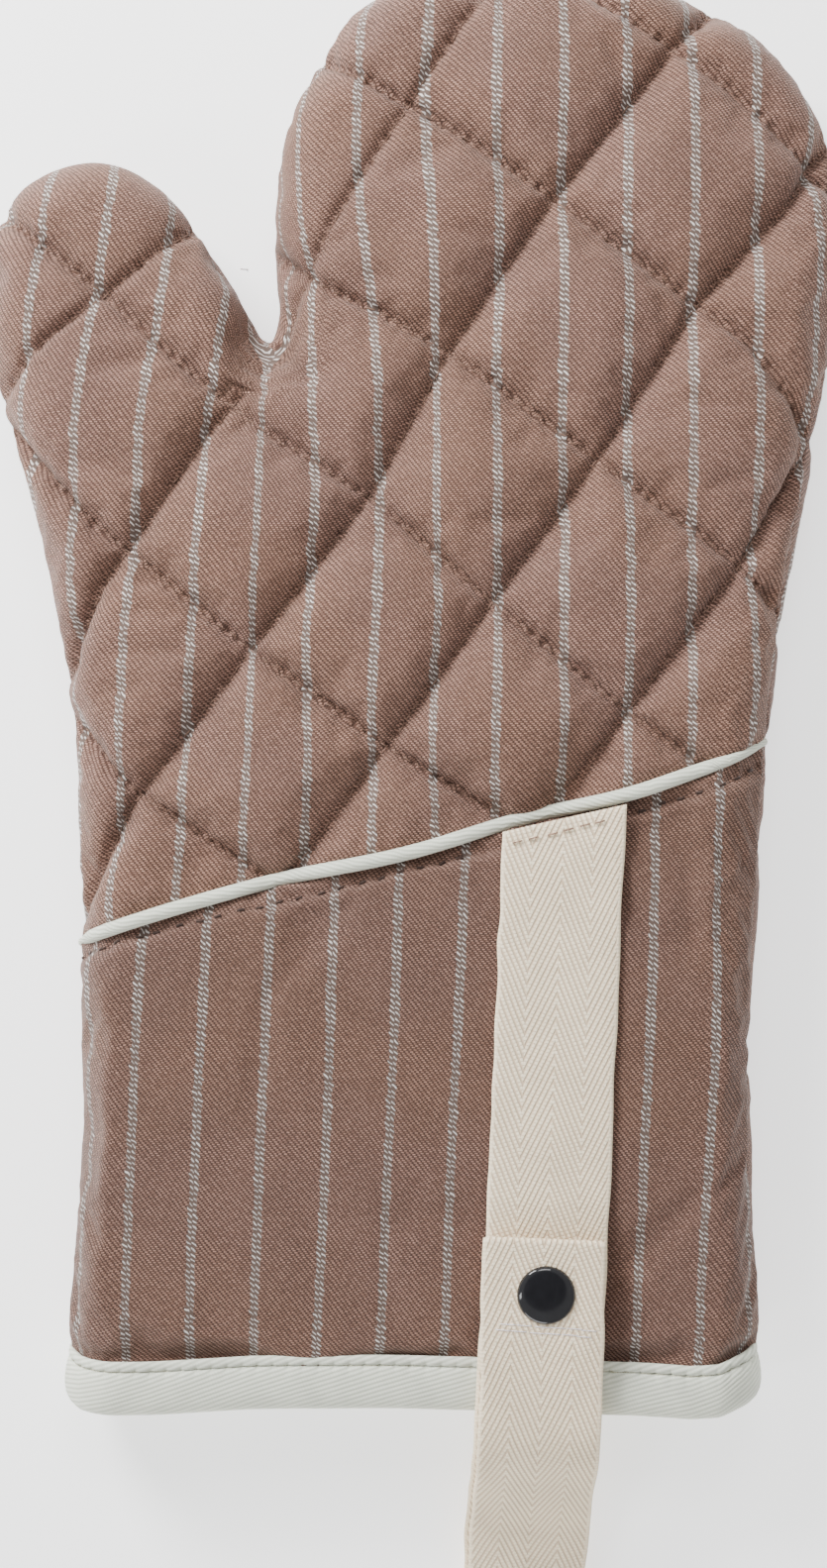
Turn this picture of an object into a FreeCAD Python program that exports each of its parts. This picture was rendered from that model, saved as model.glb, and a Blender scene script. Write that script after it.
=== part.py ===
import FreeCAD, Part
import math
import os
import Sketcher

# Oven mitt lying on its back: X to the right, Y towards the fingertips, Z up.
# The origin is on the flat underside, at the middle of the hem. Millimetres.

os.makedirs("parts", exist_ok=True)
doc = FreeCAD.newDocument("oven_mitt")
Vec = FreeCAD.Vector

DIMENSIONS = {
    "half_height": 13.5,        # seam to the top (or to the underside)
    "edge_rounding": 11.0,      # how round the padded edge is
    "fabric_thick": 0.8,
    "wadding_thick": 5.0,
    "lining_thick": 0.6,
    "binding_thick": 0.8,
    "binding_width": 10.0,
    "piping_radius": 1.5,
    "cord_radius": 1.0,
    "thread_thick": 0.4,
    "thread_width": 0.6,
    "tape_width": 25.4,
    "tape_thick": 1.0,
    "clearance": 0.3,
    "cap_radius": 6.0,
    "cap_height": 1.6,
    "flange_radius": 4.5,
    "flange_thick": 0.5,
    "shank_radius": 1.5,
    "stud_base": 0.3,
    "stud_radius": 2.0,
    "stud_height": 1.5,
    "socket_radius": 5.2,
    "socket_thick": 1.3,
}
dims = doc.addObject("Spreadsheet::Sheet", "dims")
for row, (alias, value) in enumerate(DIMENSIONS.items(), start=1):
    dims.set("A%d" % row, alias)
    dims.set("B%d" % row, str(value))
    dims.setAlias("B%d" % row, alias)
doc.recompute()

SEAM_Z = DIMENSIONS["half_height"]
TOP_Z = 2 * DIMENSIONS["half_height"]
FABRIC = DIMENSIONS["fabric_thick"]
WALL = FABRIC + DIMENSIONS["wadding_thick"] + DIMENSIONS["lining_thick"]
BINDING = DIMENSIONS["binding_thick"]

# Outline at the side seam, from the left of the hem round to the right:
# x, y and the heading of the edge in degrees.
BELOW_HEM = -25.0
STATIONS = [
    (-74.8, 0.0, 84.0),         # left end of the hem
    (-70.1, 85.0, 90.0),        # wrist, left
    (-75.2, 168.0, 101.0),      # root of the thumb
    (-89.9, 243.0, 90.0),       # outside of the thumb
    (-68.5, 265.4, 0.0),        # thumb tip
    (-49.5, 254.5, -54.0),
    (-33.3, 231.2, -57.0),      # crotch, thumb side
    (-28.9, 234.0, 89.0),       # crotch, finger side
    (-29.0, 258.0, 90.0),
    (-15.3, 295.0, 50.0),
    (27.0, 306.6, 0.0),         # fingertips
    (69.5, 295.4, -34.0),
    (90.4, 257.0, -90.0),       # widest part of the fingers
    (81.6, 193.0, -101.0),
    (72.9, 115.0, -91.5),
    (71.6, 70.0, -90.0),        # wrist, right
    (74.8, 0.0, -85.0),         # right end of the hem
]

# The piping crosses the front on a slant.
PIPING_MID = (31.9, 127.5)
PIPING_SLANT = 14.9
TOPSTITCH_DROP = 3.9            # piping centre to the topstitching
HINGE_DROP = 4.35               # piping centre to the line the strap lifts about

# The hanging strap: where its centre line crosses the hem, and its lean.
STRAP_AT_HEM = (26.2, 0.0)
STRAP_LEAN = 2.4
SNAP_Y = 28.5


def heading_vector(degrees):
    angle = math.radians(degrees)
    return Vec(math.cos(angle), math.sin(angle), 0)


def tangent_arc(start, heading, end):
    """Arc (or line) leaving start along heading and reaching end."""
    chord = end - start
    normal = Vec(-heading.y, heading.x, 0)
    bend = 2 * normal.dot(chord)
    if abs(bend) < 1e-6 * chord.Length:
        return Part.LineSegment(start, end)
    radius = chord.dot(chord) / bend
    centre = start + normal * radius
    outward = (start + end) * 0.5 - centre
    outward.normalize()
    return Part.Arc(start, centre + outward * abs(radius), end)


def biarc(start, start_heading, end, end_heading):
    """Two arcs that join two points smoothly with the headings given."""
    first = heading_vector(start_heading)
    last = heading_vector(end_heading)
    chord = end - start
    both = first + last
    spread = 2 * (1 - first.dot(last))
    reach = chord.dot(both)
    if spread < 1e-9:
        step = chord.dot(chord) / (4 * chord.dot(last))
    else:
        step = (math.sqrt(reach ** 2 + spread * chord.dot(chord)) - reach) / spread
    middle = (start + end + (first - last) * step) * 0.5
    back = tangent_arc(end, -last, middle)
    if isinstance(back, Part.LineSegment):
        return [tangent_arc(start, first, middle), Part.LineSegment(middle, end)]
    return [tangent_arc(start, first, middle), back]


def outline_geometry():
    points = [Vec(x, y, 0) for x, y, heading in STATIONS]
    lead = heading_vector(STATIONS[0][2])
    trail = heading_vector(STATIONS[-1][2])
    left = points[0] + lead * (BELOW_HEM / lead.y)
    right = points[-1] + trail * (BELOW_HEM / trail.y)
    pieces = [Part.LineSegment(left, points[0])]
    for index in range(len(STATIONS) - 1):
        pieces += biarc(points[index], STATIONS[index][2],
                        points[index + 1], STATIONS[index + 1][2])
    pieces.append(Part.LineSegment(points[-1], right))
    pieces.append(Part.LineSegment(right, left))
    return pieces


def add(kind, name, **values):
    item = doc.addObject(kind, name)
    for key, value in values.items():
        setattr(item, key, value)
    return item


outline = doc.addObject("Sketcher::SketchObject", "outline")
outline.addGeometry(outline_geometry(), False)
outline.Placement.Base = Vec(0, 0, SEAM_Z)
doc.recompute()


def padded_half(name, inset, inset_formula):
    """Upper half of the mitt's volume, inset from the outside all round."""
    if inset:
        edge = add("Part::Offset2D", name + "_edge", Source=outline)
        edge.setExpression("Value", "-(%s)" % inset_formula)
        edge.Join = "Intersection"
    else:
        edge = outline
    block = add("Part::Extrusion", name + "_block", Base=edge, Dir=Vec(0, 0, 1),
                DirMode="Custom", Solid=True)
    block.setExpression("LengthFwd", "dims.half_height - (%s)" % inset_formula)
    doc.recompute()
    top = SEAM_Z + DIMENSIONS["half_height"] - inset
    rounding = DIMENSIONS["edge_rounding"] - inset
    rims = [(number, rounding, rounding)
            for number, rim in enumerate(block.Shape.Edges, start=1)
            if abs(rim.BoundBox.ZMin - top) < 1e-4]
    half = add("Part::Fillet", name, Base=block)
    half.Edges = rims
    doc.recompute()
    return half


def mirrored(name, source):
    return add("Part::Mirroring", name, Source=source, Normal=Vec(0, 0, 1),
               Base=Vec(0, 0, SEAM_Z))


def cut(name, base, tool):
    return add("Part::Cut", name, Base=base, Tool=tool)


def common(name, base, tool):
    return add("Part::Common", name, Base=base, Tool=tool)


def fuse(name, *shapes):
    return add("Part::MultiFuse", name, Shapes=list(shapes))


def box(name, low, high):
    item = add("Part::Box", name, Length=high[0] - low[0], Width=high[1] - low[1],
               Height=high[2] - low[2])
    item.Placement.Base = Vec(*low)
    return item



# Volumes of the padded mitt, from the outside in.
skin_half = padded_half("skin_half", 0.0, "0")
padding_half = padded_half("padding_half", FABRIC, "dims.fabric_thick")
lined_half = padded_half("lined_half", FABRIC + DIMENSIONS["wadding_thick"],
                         "dims.fabric_thick + dims.wadding_thick")
hollow_half = padded_half("hollow_half", WALL,
                          "dims.fabric_thick + dims.wadding_thick + dims.lining_thick")
stitch_half = padded_half("stitch_half", DIMENSIONS["thread_thick"], "dims.thread_thick")
mouth_half = padded_half("mouth_half", WALL + BINDING,
                         "dims.fabric_thick + dims.wadding_thick + dims.lining_thick"
                         " + dims.binding_thick")

# Regions: the mitt proper above the hem line, the part of it clear of the binding,
# and everything on the fingertip side of the piping, square to its slant.
REACH = 400.0
above_hem = box("above_hem", (-REACH, 0.0, -REACH), (REACH, REACH, REACH))
above_binding = box("above_binding", (-REACH, DIMENSIONS["binding_width"], -REACH),
                    (REACH, REACH, REACH))
piping_turn = FreeCAD.Rotation(Vec(0, 0, 1), PIPING_SLANT)
piping_base = Vec(PIPING_MID[0], PIPING_MID[1], 0)


def slanted_bar(name, u_span, v_span, z_span):
    """Box laid along the piping: u along it, v towards the fingertips."""
    bar = box(name, (0, 0, 0), (u_span[1] - u_span[0], v_span[1] - v_span[0],
                                z_span[1] - z_span[0]))
    corner = piping_turn.multVec(Vec(u_span[0], v_span[0], z_span[0]))
    bar.Placement = FreeCAD.Placement(piping_base + corner, piping_turn)
    return bar


above_piping = slanted_bar("above_piping", (-REACH, REACH), (0, REACH), (-REACH, REACH))

# Quilting: two families of parallel stitch lines that cross in diamonds.
# Each family is an angle, a point on its first line and the step to the next line.
THREAD = DIMENSIONS["thread_width"]
QUILT_FAMILIES = [
    (-37.4, (0.0, 43.0), (0.0, 47.1), 6),
    (53.7, (-141.4, 193.7), (44.2, 0.0), 6),
]


def quilting_bars():
    bars = []
    for angle, first, step, count in QUILT_FAMILIES:
        turn = FreeCAD.Rotation(Vec(0, 0, 1), angle)
        for index in range(count):
            bar = box("quilt_bar_%d" % len(bars), (0, 0, 0), (2 * REACH, THREAD, REACH))
            middle = Vec(first[0] + index * step[0], first[1] + index * step[1], 0)
            bar.Placement = FreeCAD.Placement(
                middle + turn.multVec(Vec(-REACH, -THREAD / 2, 0)), turn)
            bars.append(bar)
    return bars


surface_half = cut("surface_half", skin_half, stitch_half)
quilt_lines = common("quilt_lines", surface_half, fuse("quilt_bars", *quilting_bars()))
front_quilting = common("front_quilting_thread", quilt_lines, above_piping)
back_quilting_half = common("back_quilting_half", quilt_lines, above_binding)
back_quilting = mirrored("back_quilting_thread", back_quilting_half)
topstitch_bar = slanted_bar("topstitch_bar", (-REACH, REACH),
                            (-TOPSTITCH_DROP - THREAD / 2, -TOPSTITCH_DROP + THREAD / 2),
                            (0, REACH))
piping_topstitch = common("piping_topstitch", surface_half, topstitch_bar)

# Front and back: outer fabric, wadding and lining. The fabric stops at the binding.
skin_shell = common("skin_shell", cut("skin_wall", skin_half, padding_half), above_binding)
front_cloth = common("front_cloth", skin_shell, above_piping)
front_outer = cut("front_outer_fabric", front_cloth, front_quilting)
cuff_cloth = cut("cuff_cloth", skin_shell, above_piping)
cuff_panel = cut("cuff_panel", cuff_cloth, piping_topstitch)
back_cloth = cut("back_cloth", skin_shell, back_quilting_half)
back_outer = mirrored("back_outer_fabric", back_cloth)
front_wadding = common("front_wadding", cut("front_wadding_shell", padding_half, lined_half),
                       above_hem)
front_lining = common("front_lining", cut("front_lining_shell", lined_half, hollow_half),
                      above_hem)
back_wadding = mirrored("back_wadding", front_wadding)
back_lining = mirrored("back_lining", front_lining)

# Hem binding: a folded tape round the mouth, outside and inside both walls and
# round their edge, with one row of stitching.
STITCH_Y = 8.2
hem_band = box("hem_band", (-REACH, -BINDING, -REACH), (REACH, DIMENSIONS["binding_width"], REACH))
skin_full = fuse("skin_full", skin_half, mirrored("skin_back", skin_half))
padding_full = fuse("padding_full", padding_half, mirrored("padding_back", padding_half))
hollow_full = fuse("hollow_full", hollow_half, mirrored("hollow_back", hollow_half))
mouth_full = fuse("mouth_full", mouth_half, mirrored("mouth_back", mouth_half))
stitch_full = fuse("stitch_full", stitch_half, mirrored("stitch_back", stitch_half))
wall = common("wall", cut("wall_shell", padding_full, hollow_full), above_hem)
hem_ring = cut("hem_ring", common("hem_sleeve", skin_full, hem_band), mouth_full)
hem_tape = cut("hem_tape", hem_ring, wall)
stitch_band = box("stitch_band", (-REACH, STITCH_Y - THREAD / 2, -REACH),
                  (REACH, STITCH_Y + THREAD / 2, REACH))
hem_stitch = common("hem_stitch", cut("surface_full", skin_full, stitch_full), stitch_band)
hem_binding = cut("hem_binding", hem_tape, hem_stitch)

# Piping: a covered cord over the front, from one side seam to the other. Its path
# lies in the upright plane of the slant: u runs along the piping, w is height.
slant_cos = math.cos(math.radians(PIPING_SLANT))
piping_r = DIMENSIONS["piping_radius"]
PIPING_LEFT = (-70.3 - PIPING_MID[0]) / slant_cos - piping_r
PIPING_RIGHT = (73.9 - PIPING_MID[0]) / slant_cos + piping_r
PIPING_FOOT = SEAM_Z + 0.5
shoulder = DIMENSIONS["edge_rounding"] + piping_r
crest = TOP_Z + piping_r
turn_reach = math.sqrt(0.5) * shoulder
piping_path = doc.addObject("Sketcher::SketchObject", "piping_path")
piping_path.addGeometry([
    Part.LineSegment(Vec(PIPING_LEFT, PIPING_FOOT, 0), Vec(PIPING_LEFT, crest - shoulder, 0)),
    Part.Arc(Vec(PIPING_LEFT, crest - shoulder, 0),
             Vec(PIPING_LEFT + shoulder - turn_reach, crest - shoulder + turn_reach, 0),
             Vec(PIPING_LEFT + shoulder, crest, 0)),
    Part.LineSegment(Vec(PIPING_LEFT + shoulder, crest, 0),
                     Vec(PIPING_RIGHT - shoulder, crest, 0)),
    Part.Arc(Vec(PIPING_RIGHT - shoulder, crest, 0),
             Vec(PIPING_RIGHT - shoulder + turn_reach, crest - shoulder + turn_reach, 0),
             Vec(PIPING_RIGHT, crest - shoulder, 0)),
    Part.LineSegment(Vec(PIPING_RIGHT, crest - shoulder, 0), Vec(PIPING_RIGHT, PIPING_FOOT, 0)),
], False)
upright = FreeCAD.Rotation(Vec(1, 0, 0), 90)
piping_path.Placement = FreeCAD.Placement(piping_base, piping_turn.multiply(upright))
doc.recompute()


def piping_tube(name, radius_formula):
    ring = add("Part::Circle", name + "_ring")
    ring.setExpression("Radius", radius_formula)
    ring.Placement.Base = piping_base + piping_turn.multVec(Vec(PIPING_LEFT, 0, PIPING_FOOT))
    tube = add("Part::Sweep", name + "_tube", Sections=[ring], Solid=True, Frenet=True)
    tube.Spine = (piping_path, ["Edge%d" % (i + 1) for i in range(5)])
    return tube


cover_tube = piping_tube("cover", "dims.piping_radius")
cord_tube = piping_tube("core", "dims.cord_radius")
piping_cord = cut("piping_cord", cord_tube, skin_half)
piping_cover = cut("piping_cover", cut("piping_sleeve", cover_tube, cord_tube), skin_half)

# Strap: a loop of tape. The lower run is sewn under the piping; the upper run comes
# back over it and snaps down. Profiles follow the tape's lower face, in (y, z) along
# the strap, and the tape's thickness is laid on top of them.
TAPE = DIMENSIONS["tape_thick"]
CLEAR = DIMENSIONS["clearance"]
SNAP_GAP = 1.8                          # between the two runs at the snap
SEWN_Z = TOP_Z + CLEAR                  # lower run beside the piping
RUN_Z = SEWN_Z + DIMENSIONS["flange_thick"]         # lower run over the snap post
RETURN_Z = RUN_Z + TAPE + SNAP_GAP      # upper run over the hem
FOLD_Z = RETURN_Z + TAPE                # upper run over its own folded end
TABLE_Z = 0.4                           # lower run beyond the hem
EYE_RADIUS = 5.0                        # outside of the tape, round the end of the loop
LOOP_END = -72.0
EYE_Y = LOOP_END + EYE_RADIUS
EYE_TOP = TABLE_Z + 2 * EYE_RADIUS - TAPE
HINGE_GAP = 0.15                        # half the gap between the loop's two quarters
RETURN_TABLE_Z = TABLE_Z + TAPE + SNAP_GAP
FOLD_END = 39.4
FOLD_START = 20.0
SLOPE_TOP = -4.5
SLOPE_FOOT = -36.5
strap_place = FreeCAD.Placement(Vec(STRAP_AT_HEM[0], STRAP_AT_HEM[1], 0),
                                FreeCAD.Rotation(Vec(0, 0, 1), -STRAP_LEAN))
profile_turn = FreeCAD.Placement(Vec(), FreeCAD.Rotation(Vec(1, 1, 1), 120))


def rounded_path(corners, radii):
    """Straight pieces through the corners with an arc of the given radius at each."""
    points = [Vec(y, z, 0) for y, z in corners]
    pieces = []
    cursor = points[0]
    for index, radius in enumerate(radii, start=1):
        before = points[index - 1] - points[index]
        after = points[index + 1] - points[index]
        before.normalize()
        after.normalize()
        half = before.getAngle(after) / 2
        bisector = before + after
        bisector.normalize()
        centre = points[index] + bisector * (radius / math.sin(half))
        start = points[index] + before * (radius / math.tan(half))
        end = points[index] + after * (radius / math.tan(half))
        pieces.append(Part.LineSegment(cursor, start))
        pieces.append(Part.Arc(start, centre - bisector * radius, end))
        cursor = end
    pieces.append(Part.LineSegment(cursor, points[-1]))
    return pieces


def quarter(radius, start_degrees, end_degrees):
    """Arc of the loop's end about the middle of its eye."""
    centre = Vec(EYE_Y, TABLE_Z + EYE_RADIUS, 0)
    middle_degrees = (start_degrees + end_degrees) / 2
    return Part.Arc(*[centre + heading_vector(degrees) * radius
                      for degrees in (start_degrees, middle_degrees, end_degrees)])


def ribbon(name, pieces):
    profile = doc.addObject("Sketcher::SketchObject", name + "_profile")
    profile.addGeometry(pieces, False)
    profile.Placement = strap_place.multiply(profile_turn)
    face = add("Part::Offset2D", name + "_face", Source=profile, Mode="Skin", Fill=True)
    face.setExpression("Value", "dims.tape_thick")
    face.Join = "Arc"
    across = strap_place.Rotation.multVec(Vec(1, 0, 0))
    band = add("Part::Extrusion", name + "_band", Base=face, Dir=across, DirMode="Custom",
               Solid=True, Symmetric=True)
    band.setExpression("LengthFwd", "dims.tape_width")
    return band


gap_degrees = math.degrees(HINGE_GAP / EYE_RADIUS)
lower_path = rounded_path(
    [(127.0, SEWN_Z), (80.0, SEWN_Z), (60.0, RUN_Z), (SLOPE_TOP, RUN_Z),
     (SLOPE_FOOT, TABLE_Z), (EYE_Y, TABLE_Z)], [20.0, 20.0, 10.0, 12.0])
lower_path.append(quarter(EYE_RADIUS, 270, 180 + gap_degrees))
upper_path = rounded_path(
    [(FOLD_END, FOLD_Z), (FOLD_START - 1.0, FOLD_Z), (8.0, RETURN_Z),
     (SLOPE_TOP - 1.0, RETURN_Z), (SLOPE_FOOT - 1.0, RETURN_TABLE_Z),
     (-48.0, RETURN_TABLE_Z), (-59.0, EYE_TOP), (EYE_Y, EYE_TOP)],
    [10.0, 10.0, 14.0, 8.0, 6.0, 6.0])
upper_path.append(quarter(EYE_RADIUS - TAPE, 90, 180 - gap_degrees))
lower_band = ribbon("lower", lower_path)
upper_band = ribbon("upper", upper_path)

def on_strap(item, x, y, z):
    item.Placement = strap_place.multiply(FreeCAD.Placement(Vec(x, y, z), FreeCAD.Rotation()))
    return item


def strap_bar(name, y_span, z_span):
    """Box across the whole width of the strap."""
    width = DIMENSIONS["tape_width"]
    bar = add("Part::Box", name, Length=width, Width=y_span[1] - y_span[0],
              Height=z_span[1] - z_span[0])
    return on_strap(bar, -width / 2, y_span[0], z_span[0])


def disc(name, radius_formula, z, height_formula):
    item = add("Part::Cylinder", name)
    item.setExpression("Radius", radius_formula)
    item.setExpression("Height", height_formula)
    return on_strap(item, 0, SNAP_Y, z)


# The sewn end of the strap stays with the cuff; the rest lifts about the stitching.
TUCK = 1.2                              # how far the sewn end stops short of the piping
sewn_tape = strap_bar("sewn_tape", (100.0, 140.0), (TOP_Z, TOP_Z + TAPE))
sewn_zone = slanted_bar("sewn_zone", (-REACH, REACH), (-HINGE_DROP + HINGE_GAP, -TUCK),
                        (0, REACH))
sewn_end = cut("sewn_end", common("sewn_piece", sewn_tape, sewn_zone), cover_tube)
anchor_zone = common("anchor_zone", topstitch_bar,
                     strap_bar("anchor_strip", (100.0, 140.0),
                               (TOP_Z + TAPE - DIMENSIONS["thread_thick"], TOP_Z + TAPE)))
strap_anchor_stitch = common("strap_anchor_stitch", anchor_zone, sewn_end)
strap_root = cut("strap_root", sewn_end, anchor_zone)

# Snap fastener. The post is under the lower run and the stud on top of it; the cap is
# on the upper run and holds the socket beneath it.
RUN_TOP = RUN_Z + TAPE
CAP_Z = FOLD_Z + TAPE
post_flange = disc("post_flange", "dims.flange_radius", SEWN_Z, "dims.flange_thick")
post_shank = disc("post_shank", "dims.shank_radius", RUN_Z, "dims.tape_thick")
snap_post = fuse("snap_post", post_flange, post_shank)
stud_base = disc("stud_base", "dims.flange_radius", RUN_TOP, "dims.stud_base")
stud_nub = disc("stud_nub", "dims.stud_radius", RUN_TOP, "dims.stud_height")
snap_stud = fuse("snap_stud", stud_base, stud_nub)
cap_block = disc("cap_block", "dims.cap_radius", CAP_Z, "dims.cap_height")
cap_shank = disc("cap_shank", "dims.shank_radius", RETURN_Z, "2 * dims.tape_thick")
doc.recompute()
CAP_ROUNDING = 1.2
cap_top = CAP_Z + DIMENSIONS["cap_height"]
cap_dome = add("Part::Fillet", "cap_dome", Base=cap_block)
cap_dome.Edges = [(number, CAP_ROUNDING, CAP_ROUNDING)
                  for number, rim in enumerate(cap_block.Shape.Edges, start=1)
                  if abs(rim.BoundBox.ZMin - cap_top) < 1e-4]
snap_cap = fuse("snap_cap", cap_dome, cap_shank)
socket_disc = add("Part::Cylinder", "socket_disc")
socket_disc.setExpression("Radius", "dims.socket_radius")
socket_disc.setExpression("Height", "dims.socket_thick")
on_strap(socket_disc, 0, SNAP_Y, RETURN_Z - DIMENSIONS["socket_thick"])
socket_hole = add("Part::Cylinder", "socket_hole")
socket_hole.setExpression("Radius", "dims.stud_radius + dims.clearance")
socket_hole.setExpression("Height", "dims.socket_thick")
on_strap(socket_hole, 0, SNAP_Y, RETURN_Z - DIMENSIONS["socket_thick"])
snap_socket = cut("snap_socket", socket_disc, socket_hole)

# Lower run, and upper run with its folded end and the two rows of stitching across it.
above_hinge = slanted_bar("above_hinge", (-REACH, REACH), (-HINGE_DROP - HINGE_GAP, REACH),
                          (0, REACH))
strap_run = cut("strap_run", cut("lower_strip", lower_band, above_hinge), post_shank)
folded_end = strap_bar("folded_end", (FOLD_START, FOLD_END), (RETURN_Z, FOLD_Z))
upper_tape = cut("upper_tape", fuse("upper_strip", upper_band, folded_end), cap_shank)
END_STITCHES = (21.4, 22.6)
end_rows = [strap_bar("end_row_%d" % index, (y - THREAD / 2, y + THREAD / 2),
                      (CAP_Z - DIMENSIONS["thread_thick"], CAP_Z))
            for index, y in enumerate(END_STITCHES)]
strap_end_stitch = fuse("strap_end_stitch", *end_rows)
strap_end = cut("strap_end", upper_tape, strap_end_stitch)
doc.recompute()

NODES = [
    front_outer, cuff_panel, front_wadding, front_lining,
    back_outer, back_wadding, back_lining,
    front_quilting, back_quilting,
    piping_cover, piping_cord, piping_topstitch,
    hem_binding, hem_stitch,
    strap_root, strap_anchor_stitch, strap_run, snap_post, snap_stud,
    strap_end, strap_end_stitch, snap_cap, snap_socket,
]
for item in doc.Objects:
    if "Invalid" in item.State or "Error" in item.State:
        raise RuntimeError("object did not compute: " + item.Name)
for node in NODES:
    if node.Shape.isNull() or not node.Shape.isValid() or not node.Shape.Solids:
        raise RuntimeError("bad shape: " + node.Name)
    node.Label = node.Name
    node.Shape.exportStep("parts/" + node.Name + ".step")
    print(node.Name, len(node.Shape.Solids), round(node.Shape.Volume, 1))
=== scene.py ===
import math

import bpy
import numpy as np
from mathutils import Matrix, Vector
from mathutils.geometry import delaunay_2d_cdt
from mathutils.kdtree import KDTree


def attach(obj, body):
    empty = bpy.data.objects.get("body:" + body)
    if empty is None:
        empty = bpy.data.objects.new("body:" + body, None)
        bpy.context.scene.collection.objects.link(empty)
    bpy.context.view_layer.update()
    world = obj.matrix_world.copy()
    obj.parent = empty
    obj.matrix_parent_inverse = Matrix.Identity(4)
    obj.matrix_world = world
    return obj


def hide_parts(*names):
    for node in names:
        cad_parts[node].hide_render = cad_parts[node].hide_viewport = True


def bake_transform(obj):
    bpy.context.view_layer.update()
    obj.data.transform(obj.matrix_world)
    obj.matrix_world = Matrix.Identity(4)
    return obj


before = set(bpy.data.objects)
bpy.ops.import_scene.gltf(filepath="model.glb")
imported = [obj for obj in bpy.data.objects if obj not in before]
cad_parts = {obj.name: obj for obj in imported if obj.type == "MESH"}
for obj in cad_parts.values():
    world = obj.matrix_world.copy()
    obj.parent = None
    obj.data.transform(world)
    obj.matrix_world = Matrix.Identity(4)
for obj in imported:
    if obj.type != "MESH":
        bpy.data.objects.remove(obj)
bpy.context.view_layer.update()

# Lengths below are in millimetres; MM turns them into the scene's metres.
MM = 0.001
rng = np.random.default_rng(7)

# ---- camera
CAMERA_CENTRE = (0.1, 133.6)
CAMERA_HEIGHT = 480.5
cam_data = bpy.data.cameras.new("camera")
cam_data.sensor_fit = "VERTICAL"
cam_data.sensor_height = 36.0
cam_data.lens = 50.0
cam_data.clip_start = 0.01
cam = bpy.data.objects.new("camera", cam_data)
cam.location = (CAMERA_CENTRE[0] * MM, CAMERA_CENTRE[1] * MM, CAMERA_HEIGHT * MM)
bpy.context.scene.collection.objects.link(cam)
bpy.context.scene.camera = cam

# ---- outline
SEAM_Z = 13.5                   # height of the side seam
HALF = 13.5                     # from the seam up to the front's face
EDGE_R = 13.0                   # how far in from the side the padded edge rounds over
TOP_Z = SEAM_Z + HALF

FORK = (-31.0, 230.0)           # where thumb and hand part

# The side seam as places and headings (x, y, degrees), joined by pairs of arcs.
STATIONS = [
    (-74.8, 0.0, 84.0), (-70.1, 85.0, 90.0), (-75.2, 168.0, 101.0), (-89.9, 243.0, 90.0),
    (-68.5, 265.4, 0.0), (-49.5, 254.5, -54.0), (-33.3, 231.2, -57.0), (-28.9, 234.0, 89.0),
    (-29.0, 258.0, 90.0), (-15.3, 295.0, 50.0), (27.0, 306.6, 0.0), (69.5, 295.4, -34.0),
    (90.4, 257.0, -90.0), (81.6, 193.0, -101.0), (72.9, 115.0, -91.5), (71.6, 70.0, -90.0),
    (74.8, 0.0, -85.0),
]


def unit_rows(vectors):
    """Each row brought to length one."""
    return vectors / np.maximum(np.linalg.norm(vectors, axis=1), 1e-12)[:, None]


def unit(degrees):
    return np.array([math.cos(math.radians(degrees)), math.sin(math.radians(degrees))])


def sample_arc(start, heading, end, spacing):
    """Points along the arc that leaves start along heading and ends at end."""
    chord = end - start
    normal = np.array([-heading[1], heading[0]])
    bend = 2 * normal.dot(chord)
    if abs(bend) < 1e-6:
        steps = max(2, int(np.linalg.norm(chord) / spacing))
        return [start + chord * k / steps for k in range(steps)]
    radius = chord.dot(chord) / bend
    centre = start + normal * radius
    arm = start - centre
    swing = 2 * math.asin(min(1.0, np.linalg.norm(chord) / (2 * abs(radius))))
    swing = math.copysign(swing, radius)
    steps = max(3, int(abs(swing * radius) / min(spacing, abs(radius) * 0.35)))
    points = []
    for k in range(steps):
        a = swing * k / steps
        points.append(centre + np.array([arm[0] * math.cos(a) - arm[1] * math.sin(a),
                                         arm[0] * math.sin(a) + arm[1] * math.cos(a)]))
    return points


def smooth_outline(spacing):
    """Dense points and outward normals of the side seam, left hem to right hem."""
    points = []
    for (x0, y0, h0), (x1, y1, h1) in zip(STATIONS[:-1], STATIONS[1:]):
        start, end = np.array([x0, y0]), np.array([x1, y1])
        t0, t1 = unit(h0), unit(h1)
        chord = end - start
        spread = 2 * (1 - t0.dot(t1))
        reach = chord.dot(t0 + t1)
        if spread < 1e-9:
            step = chord.dot(chord) / (4 * chord.dot(t1))
        else:
            step = (math.sqrt(reach ** 2 + spread * chord.dot(chord)) - reach) / spread
        middle = (start + end + (t0 - t1) * step) / 2
        points += sample_arc(start, t0, middle, spacing)
        back = sample_arc(end, -t1, middle, spacing)
        points += [middle] + back[:0:-1]
    points.append(np.array(STATIONS[-1][:2]))
    points = np.array(points)
    tangent = unit_rows(np.gradient(points, axis=0))
    return points, np.column_stack([-tangent[:, 1], tangent[:, 0]])


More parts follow.
